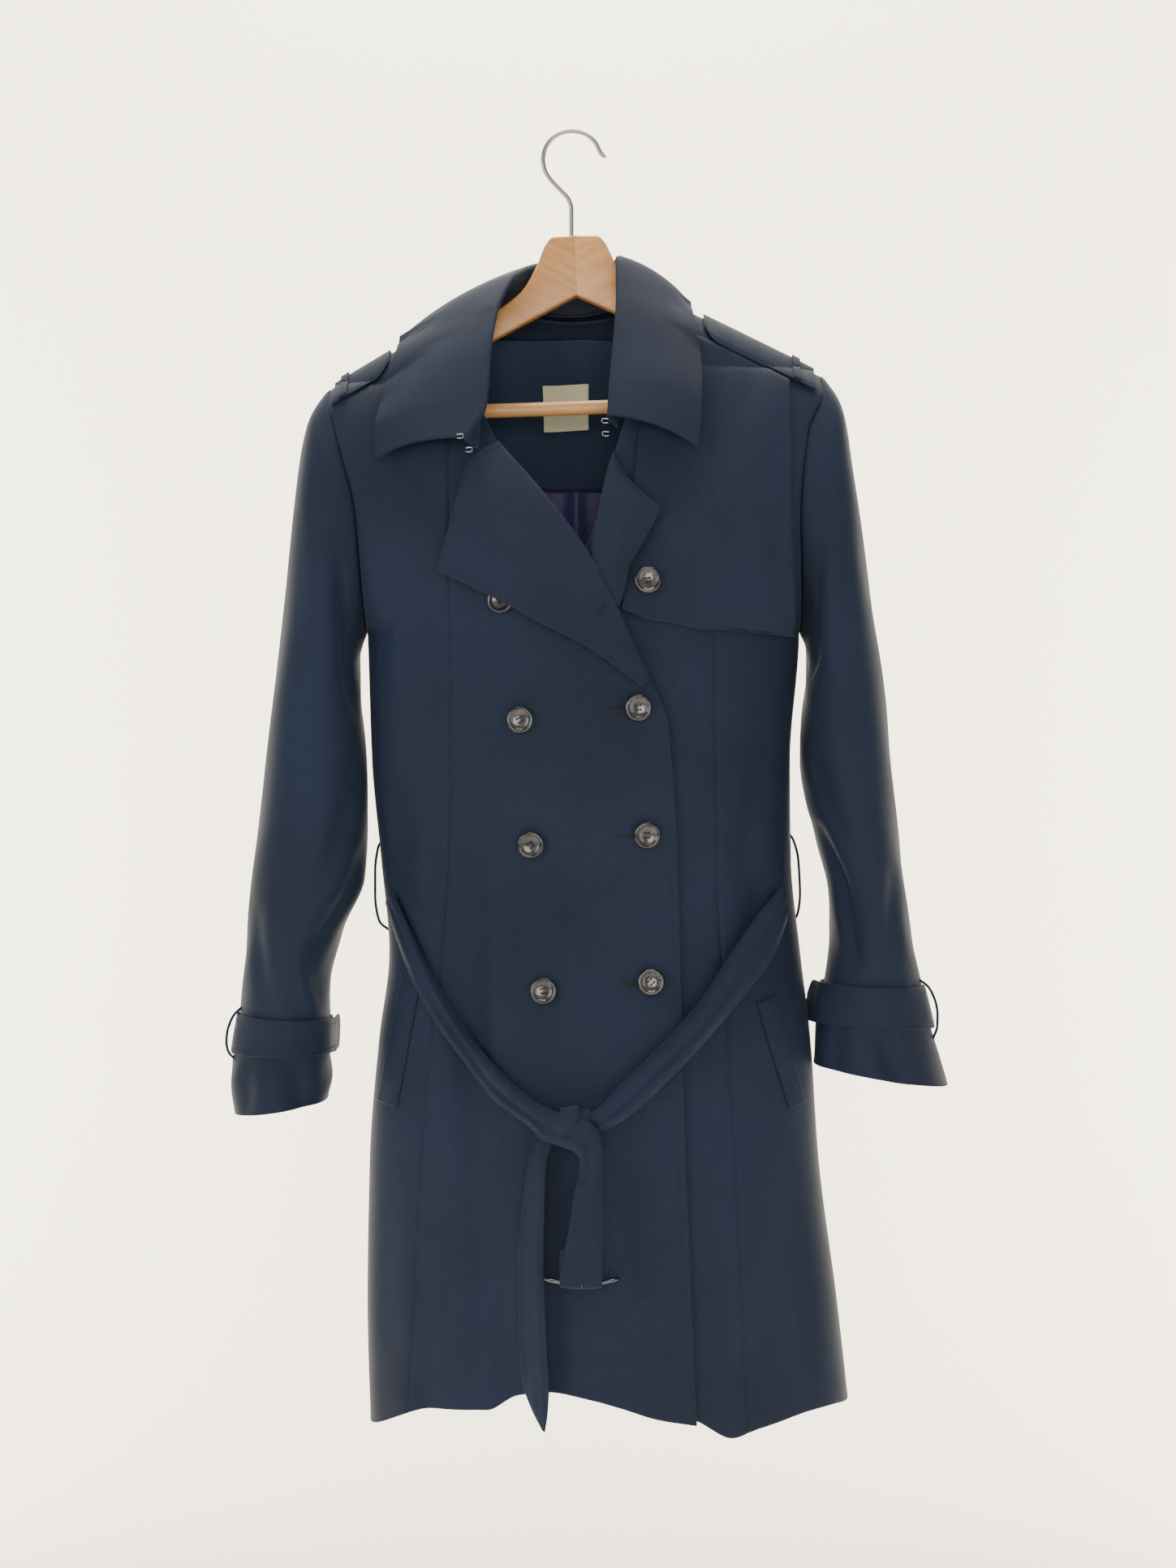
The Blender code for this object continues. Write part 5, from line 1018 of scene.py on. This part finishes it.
# ---------------------------------------------------------------- buckle
# Bowed frame of dark plated metal in the belt's folded end, with a prong that turns on its bar.
DARK_METAL, shader = new_material("black nickel", Metallic=1.0, Roughness=0.2, Coat_Weight=0.3)
shader.inputs["Base Color"].default_value = linear("#4a4c52")
corner, half = 0.007, BUCKLE_WIDTH / 2
flat = [(x, 0.0) for x in np.linspace(-half + corner, half - corner, 24)]
bends = [(half - corner * (1 - math.sin(a)), corner * (1 - math.cos(a)))
         for a in np.linspace(0.2, math.pi / 2, 7)]
quarter = flat + bends
path = quarter + [(x, BUCKLE_HEIGHT - y) for x, y in quarter[::-1]]
path += [(-x, BUCKLE_HEIGHT - y) for x, y in bends] + [(-x, y) for x, y in bends[::-1]]
back = np.array((0.0, math.cos(BUCKLE_PITCH), -math.sin(BUCKLE_PITCH)))
down = np.array((0.0, -math.sin(BUCKLE_PITCH), -math.cos(BUCKLE_PITCH)))
centres = np.array([BAR + np.array((x, 0, bar_sag(BAR[0] + x))) + back * y for x, y in path])
tangents = np.roll(centres, -1, 0) - np.roll(centres, 1, 0)
tangents /= np.linalg.norm(tangents, axis=1, keepdims=True)
inward = np.cross(tangents, down)
inward /= np.linalg.norm(inward, axis=1, keepdims=True)
upright = np.cross(inward, tangents)
rings = [centres + BAR_RADIUS * (inward * math.cos(a) + upright * math.sin(a))
         for a in np.linspace(0, 2 * math.pi, 16, endpoint=False)]
buckle = loft("belt_buckle_frame", np.swapaxes(rings, 0, 1), DARK_METAL, closed=True)
settle(buckle, "dark_metal", "buckle_frame")

pivot = BAR + np.array((0.0, 0.0, -BUCKLE_BOW))
drop = math.radians(20.0)
bpy.ops.mesh.primitive_torus_add(major_segments=36, minor_segments=12, major_radius=0.0031,
                                 minor_radius=0.0009, location=pivot, rotation=(0, math.pi / 2, 0))
eye = bpy.context.object
tip = Vector((0.0, math.cos(drop), -math.sin(drop)))
bpy.ops.mesh.primitive_cone_add(vertices=20, radius1=0.0011, radius2=0.0007, depth=0.0350,
                                location=Vector(pivot) + tip * 0.0205,
                                rotation=tip.to_track_quat("Z", "X").to_euler())
eye.select_set(True)
bpy.ops.object.join()
prong = bpy.context.object
prong.name = "belt_buckle_prong"
bpy.ops.object.transform_apply(location=True, rotation=True, scale=True)
prong.data.materials.append(DARK_METAL)
bpy.ops.object.shade_smooth_by_angle(angle=math.radians(40))
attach(prong, "prong")
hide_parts("buckle_prong")

# ---------------------------------------------------------------- buttons
# Glossy dark marbled buttons with a rolled rim and four holes of painted shade, sewn on with navy
# thread. The left column's ones lie at the end of bound buttonholes.
RIM_RESIN, shader = new_material("black resin", Roughness=0.14, Coat_Weight=0.5, Coat_Roughness=0.06)
shader.inputs["Base Color"].default_value = linear("#101114")
RESIN, shader = new_material("marbled resin", Roughness=0.2, Coat_Weight=0.6, Coat_Roughness=0.08)
place = node(RESIN, "ShaderNodeTexCoord")
marble = node(RESIN, "ShaderNodeTexNoise", {"Scale": 70.0, "Detail": 2.0, "Distortion": 1.2},
              {"Vector": place.outputs["Object"]})
ramp = node(RESIN, "ShaderNodeValToRGB", {}, {"Fac": marble.outputs["Fac"]})
ramp.color_ramp.elements[0].position, ramp.color_ramp.elements[0].color = 0.35, linear("#1b1a1c")
ramp.color_ramp.elements[1].position, ramp.color_ramp.elements[1].color = 0.75, linear("#484441")
RESIN.node_tree.links.new(ramp.outputs["Color"], shader.inputs["Base Color"])
# Near-black discs for the button holes and thin near-black slits for the buttonhole mouths: painted shade in the
# openings.
HOLE_SHADE, shader = new_material("button hole painted shade", Roughness=0.9)
shader.inputs["Base Color"].default_value = linear("#050507")
THREAD, shader = new_material("navy thread", Roughness=0.9)
shader.inputs["Base Color"].default_value = linear("#111826")
BUTTON_PROFILE = (
    # radius  height
    (0.0000, 0.0000), (0.0080, 0.0000), (0.0102, 0.0007), (0.0111, 0.0017), (0.0114, 0.0027),
    (0.0112, 0.0035), (0.0105, 0.0041), (0.0096, 0.0043), (0.0088, 0.0041), (0.0081, 0.0035),
    (0.0076, 0.0029), (0.0068, 0.0025), (0.0030, 0.0022), (0.0000, 0.0021),
)
BUTTONS = (
    # node, x, z, lift, over, turn of the holes in degrees
    ("button_1_right", -0.0589, -0.4177, 0.0008, OVERLAP_STEP, 20),
    ("button_flap", 0.0648, -0.4020, 0.0062, 0.0, 8),
    ("button_2_right", -0.0425, -0.5189, 0.0008, OVERLAP_STEP, 30),
    ("button_2_left", 0.0566, -0.5086, 0.0008, OVERLAP_STEP, 5),
    ("button_3_right", -0.0336, -0.6242, 0.0008, OVERLAP_STEP, 40),
    ("button_3_left", 0.0642, -0.6160, 0.0008, OVERLAP_STEP, 2),
    ("button_4_right", -0.0227, -0.7479, 0.0008, OVERLAP_STEP, 10),
    ("button_4_left", 0.0676, -0.7404, 0.0008, OVERLAP_STEP, 45),
)


def frame_on_body(x, z, over):
    """Point of the front at x and z with the directions to the right, up and out."""
    base = on_body(-1, np.array(x), np.array(z), 0.0, over)
    outward = on_body(-1, np.array(x), np.array(z), 1.0, over) - base
    right = np.cross(outward, (0.0, 0.0, 1.0)) * -1
    right /= np.linalg.norm(right)
    right = right * np.sign(right[0])
    up = np.cross(outward, right)
    up = up * np.sign(up[2])
    return base, right, up, outward


for name, x, z, lift, over, turn in BUTTONS:
    base, right, up, outward = frame_on_body(x, z, over)
    base = base + outward * lift
    rings = []
    for radius, height in BUTTON_PROFILE:
        rings.append([base + outward * (height + 0.0006) + (right * math.cos(a) + up * math.sin(a)) * max(radius, 1e-5)
                      for a in np.linspace(0, 2 * math.pi, 48, endpoint=False)])
    button = loft("coat_" + name, [ring[::-1] for ring in rings], RESIN)
    button.data.materials.append(RIM_RESIN)
    for polygon in button.data.polygons:
        away = np.array(polygon.center) - base
        polygon.material_index = int(np.linalg.norm(away - outward * away.dot(outward)) > 0.0084)
    settle(button, "button_resin", name)
    turn = math.radians(turn)
    first, second = right * math.cos(turn) + up * math.sin(turn), up * math.cos(turn) - right * math.sin(turn)
    pieces = []
    for a, b in ((1, 1), (1, -1), (-1, 1), (-1, -1)):
        # Each hole is a near-black disc on the button's face: painted shade.
        centre = base + (first * a + second * b) * 0.0019 + outward * 0.0026
        rings = [[centre + outward * rise + (right * math.cos(q) + up * math.sin(q)) * 0.0009
                  for q in np.linspace(2 * math.pi, 0, 14, endpoint=False)] for rise in (0.0, 0.0003)]
        pieces.append(loft("coat_" + name + "_hole_shade", rings, HOLE_SHADE))
    for b in (1, -1):
        knots = [base + first * a * 0.0019 + second * b * 0.0019 + outward * rise
                 for a, rise in ((-1.0, 0.0026), (-0.6, 0.0034), (0.6, 0.0034), (1.0, 0.0026))]
        pieces.append(wire("coat_" + name + "_thread", knots, 0.00042, THREAD, 12, 8))
    bpy.ops.object.select_all(action="DESELECT")
    for piece in pieces:
        piece.select_set(True)
    bpy.context.view_layer.objects.active = pieces[0]
    bpy.ops.object.join()
    pieces[0].name = "coat_" + name + "_sewing"
    settle(pieces[0], "button_resin")

BUTTONHOLES = (
    # name, x, z, half length, slope in degrees, lift, over
    ("2", 0.0420, -0.5105, 0.0115, 4, 0.0006, OVERLAP_STEP),
    ("3", 0.0500, -0.6180, 0.0115, 3, 0.0006, OVERLAP_STEP),
    ("4", 0.0530, -0.7420, 0.0115, 2, 0.0006, OVERLAP_STEP),
    ("lapel", 0.0200, -0.4285, 0.0105, 47, 0.0082, OVERLAP_STEP),
)
for name, x, z, half, slope, lift, over in BUTTONHOLES:
    base, right, up, outward = frame_on_body(x, z, over)
    base = base + outward * lift
    slope = math.radians(slope)
    lengthwise = right * math.cos(slope) + up * math.sin(slope)
    sideways = up * math.cos(slope) - right * math.sin(slope)
    loop = [base + lengthwise * half * math.cos(a) + sideways * 0.0011 * math.sin(a)
            for a in np.linspace(0, 2 * math.pi, 41)]
    bound = wire("coat_buttonhole_" + name, loop, 0.0006, THREAD, 160, 8)
    settle(bound, "coat_cloth")
    # The slit is a thin near-black sheet: painted shade in the buttonhole's mouth.
    rings = [[base + outward * rise + lengthwise * half * 0.95 * math.cos(a) + sideways * 0.0008 * math.sin(a)
              for a in np.linspace(2 * math.pi, 0, 32, endpoint=False)] for rise in (-0.0002, 0.0002)]
    settle(loft("coat_buttonhole_slit_shade_" + name, rings, HOLE_SHADE), "coat_cloth")

# ---------------------------------------------------------------- stitching
# Rows of navy thread a few millimetres in from the sewn edges, each stitch a short raised bead.
def inset(points, edge, distance):
    """The line of a grid that lies a distance in from one of its edges."""
    grid = {"left": points, "right": points[:, ::-1], "top": np.swapaxes(points, 0, 1),
            "low": np.swapaxes(points, 0, 1)[:, ::-1]}[edge]
    reach = np.pad(np.cumsum(np.linalg.norm(np.diff(grid, axis=1), axis=-1), 1), ((0, 0), (1, 0)))
    line = []
    for row, marks in zip(grid, reach):
        goal = min(distance, marks[-1] * 0.5)
        line.append([np.interp(goal, marks, row[:, k]) for k in range(3)])
    return np.array(line)


def stitches(name, points, way, edges, distance, pitch=0.0032, radius=0.00028):
    """Beads of thread along the inset lines of a sheet."""
    normals = grid_normals(points, way)
    vertices, faces = [], []
    for edge in edges:
        line = inset(points, edge, distance)
        outward = inset(points + normals * 0.001, edge, distance) - line
        outward /= np.maximum(np.linalg.norm(outward, axis=1, keepdims=True), 1e-9)
        marks = np.concatenate(([0], np.cumsum(np.linalg.norm(np.diff(line, axis=0), axis=1))))
        starts = np.arange(distance * 0.6, marks[-1] - distance * 0.6, pitch)
        for start in starts:
            at = start + np.array((0.0, 0.25, 0.5, 0.75)) * pitch
            spine = np.stack([np.interp(at, marks, line[:, k]) for k in range(3)], -1)
            out = np.stack([np.interp(at, marks, outward[:, k]) for k in range(3)], -1)
            along_it = spine[-1] - spine[0]
            along_it /= max(np.linalg.norm(along_it), 1e-9)
            sideways = np.cross(out, along_it)
            for point, o, s, size in zip(spine, out, sideways, (0.35, 1.0, 1.0, 0.35)):
                for a in np.linspace(0, 2 * math.pi, 5, endpoint=False):
                    vertices.append(point + o * 0.00012 + (o * math.cos(a) + s * math.sin(a)) * radius * size)
            first = len(vertices) - 20
            for ring in range(3):
                for j in range(5):
                    k = (j + 1) % 5
                    low, high = first + ring * 5, first + ring * 5 + 5
                    faces.append((low + j, low + k, high + k, high + j))
            faces.append(tuple(first + j for j in (4, 3, 2, 1, 0)))
            faces.append(tuple(first + 15 + j for j in range(5)))
    mesh = bpy.data.meshes.new(name)
    mesh.from_pydata([tuple(v) for v in vertices], [], faces)
    mesh.materials.append(THREAD)
    mesh.shade_smooth()
    made = bpy.data.objects.new(name, mesh)
    bpy.context.scene.collection.objects.link(made)
    return settle(made, "coat_cloth")


for name, points, way, edges in sewn:
    stitches("stitches_" + name, points, way, edges, 0.0016 if "pocket" in name else 0.0045)
edge_rows = panel_points["front_right"][95:]
stitches("stitches_front_edge", edge_rows, 1, ("right",), 0.0060)

# ---------------------------------------------------------------- stage
# Pale sweep of floor and backdrop, clear from behind, soft lights on the coat from the front and
# its two sides, others on the backdrop alone, and the camera level with the middle of the coat.
backdrop, shader = new_material("pale backdrop", Roughness=0.9)
shader.inputs["Base Color"].default_value = linear("#fbf8f0")
side_seen = node(backdrop, "ShaderNodeNewGeometry")
clear_back = node(backdrop, "ShaderNodeBsdfTransparent")
both = node(backdrop, "ShaderNodeMixShader", {},
            {0: side_seen.outputs["Backfacing"], 1: shader.outputs["BSDF"], 2: clear_back.outputs["BSDF"]})
output = [other for other in backdrop.node_tree.nodes if other.type == "OUTPUT_MATERIAL"][0]
backdrop.node_tree.links.new(both.outputs["Shader"], output.inputs["Surface"])
sweep = [(-3.0, -1.42), (0.9, -1.42), (1.25, -1.36), (1.45, -1.15), (1.5, -0.8), (1.5, 1.9)]
profile = route([(0, y, z) for y, z in sweep], 60)
across = np.linspace(-3.2, 3.2, 3)
points = np.stack([np.broadcast_to(across[None, :], (60, 3)), np.repeat(profile[:, 1:2], 3, 1),
                   np.repeat(profile[:, 2:3], 3, 1)], -1)
mesh = bpy.data.meshes.new("backdrop")
index = np.arange(180).reshape(60, 3)
quads = np.stack([index[:-1, :-1], index[:-1, 1:], index[1:, 1:], index[1:, :-1]], -1).reshape(-1, 4)
mesh.from_pydata(points.reshape(-1, 3).tolist(), [], quads.tolist())
mesh.materials.append(backdrop)
mesh.shade_smooth()
floor = bpy.data.objects.new("backdrop", mesh)
bpy.context.scene.collection.objects.link(floor)
floor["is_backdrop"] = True

LIGHTS = (
    # name, place, aim, size, watts, colour
    ("key", (-1.9, -1.7, -0.1), (0.0, 0.0, -0.7), 1.5, 31.0, "#f6f9ff"),
    ("fill", (1.9, -1.9, -0.6), (0.0, 0.0, -0.8), 1.6, 17.0, "#eef4ff"),
    ("front", (0.1, -3.2, -0.25), (0.0, 0.0, -0.5), 1.3, 38.0, "#fff8ee"),
    ("top", (0.0, -0.6, 1.4), (0.0, 0.0, -0.6), 1.4, 5.0, "#ffffff"),
    ("wall_high", (0.0, 0.45, 1.7), (0.0, 1.5, -0.2), 1.6, 150.0, "#fff5e2"),
    ("wall_right", (-1.75, 0.35, -0.6), (-1.75, 1.5, -0.6), 2.0, 105.0, "#fff5e2"),
    ("wall_left", (1.75, 0.35, -0.6), (1.75, 1.5, -0.6), 2.0, 105.0, "#fff5e2"),
)
for name, place, aim, size, watts, colour in LIGHTS:
    bpy.ops.object.light_add(type="AREA", location=place)
    light = bpy.context.object
    light.name = "light_" + name
    light.data.size = size
    light.data.energy = watts
    light.data.color = linear(colour)[:3]
    light.rotation_euler = (Vector(aim) - Vector(place)).to_track_quat("-Z", "Y").to_euler()
world = bpy.data.worlds.new("studio")
world.use_nodes = True
world.node_tree.nodes["Background"].inputs["Color"].default_value = linear("#f3f1ec")
world.node_tree.nodes["Background"].inputs["Strength"].default_value = 0.5
bpy.context.scene.world = world

bpy.ops.object.camera_add(location=(0.0146, -2.0, -0.5729), rotation=(math.pi / 2, 0, 0))
camera = bpy.context.object
camera.data.lens = 52.17
bpy.context.scene.camera = camera

size = {"start": [list(corner) for corner in start_bounds], "end": [list(corner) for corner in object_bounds()]}
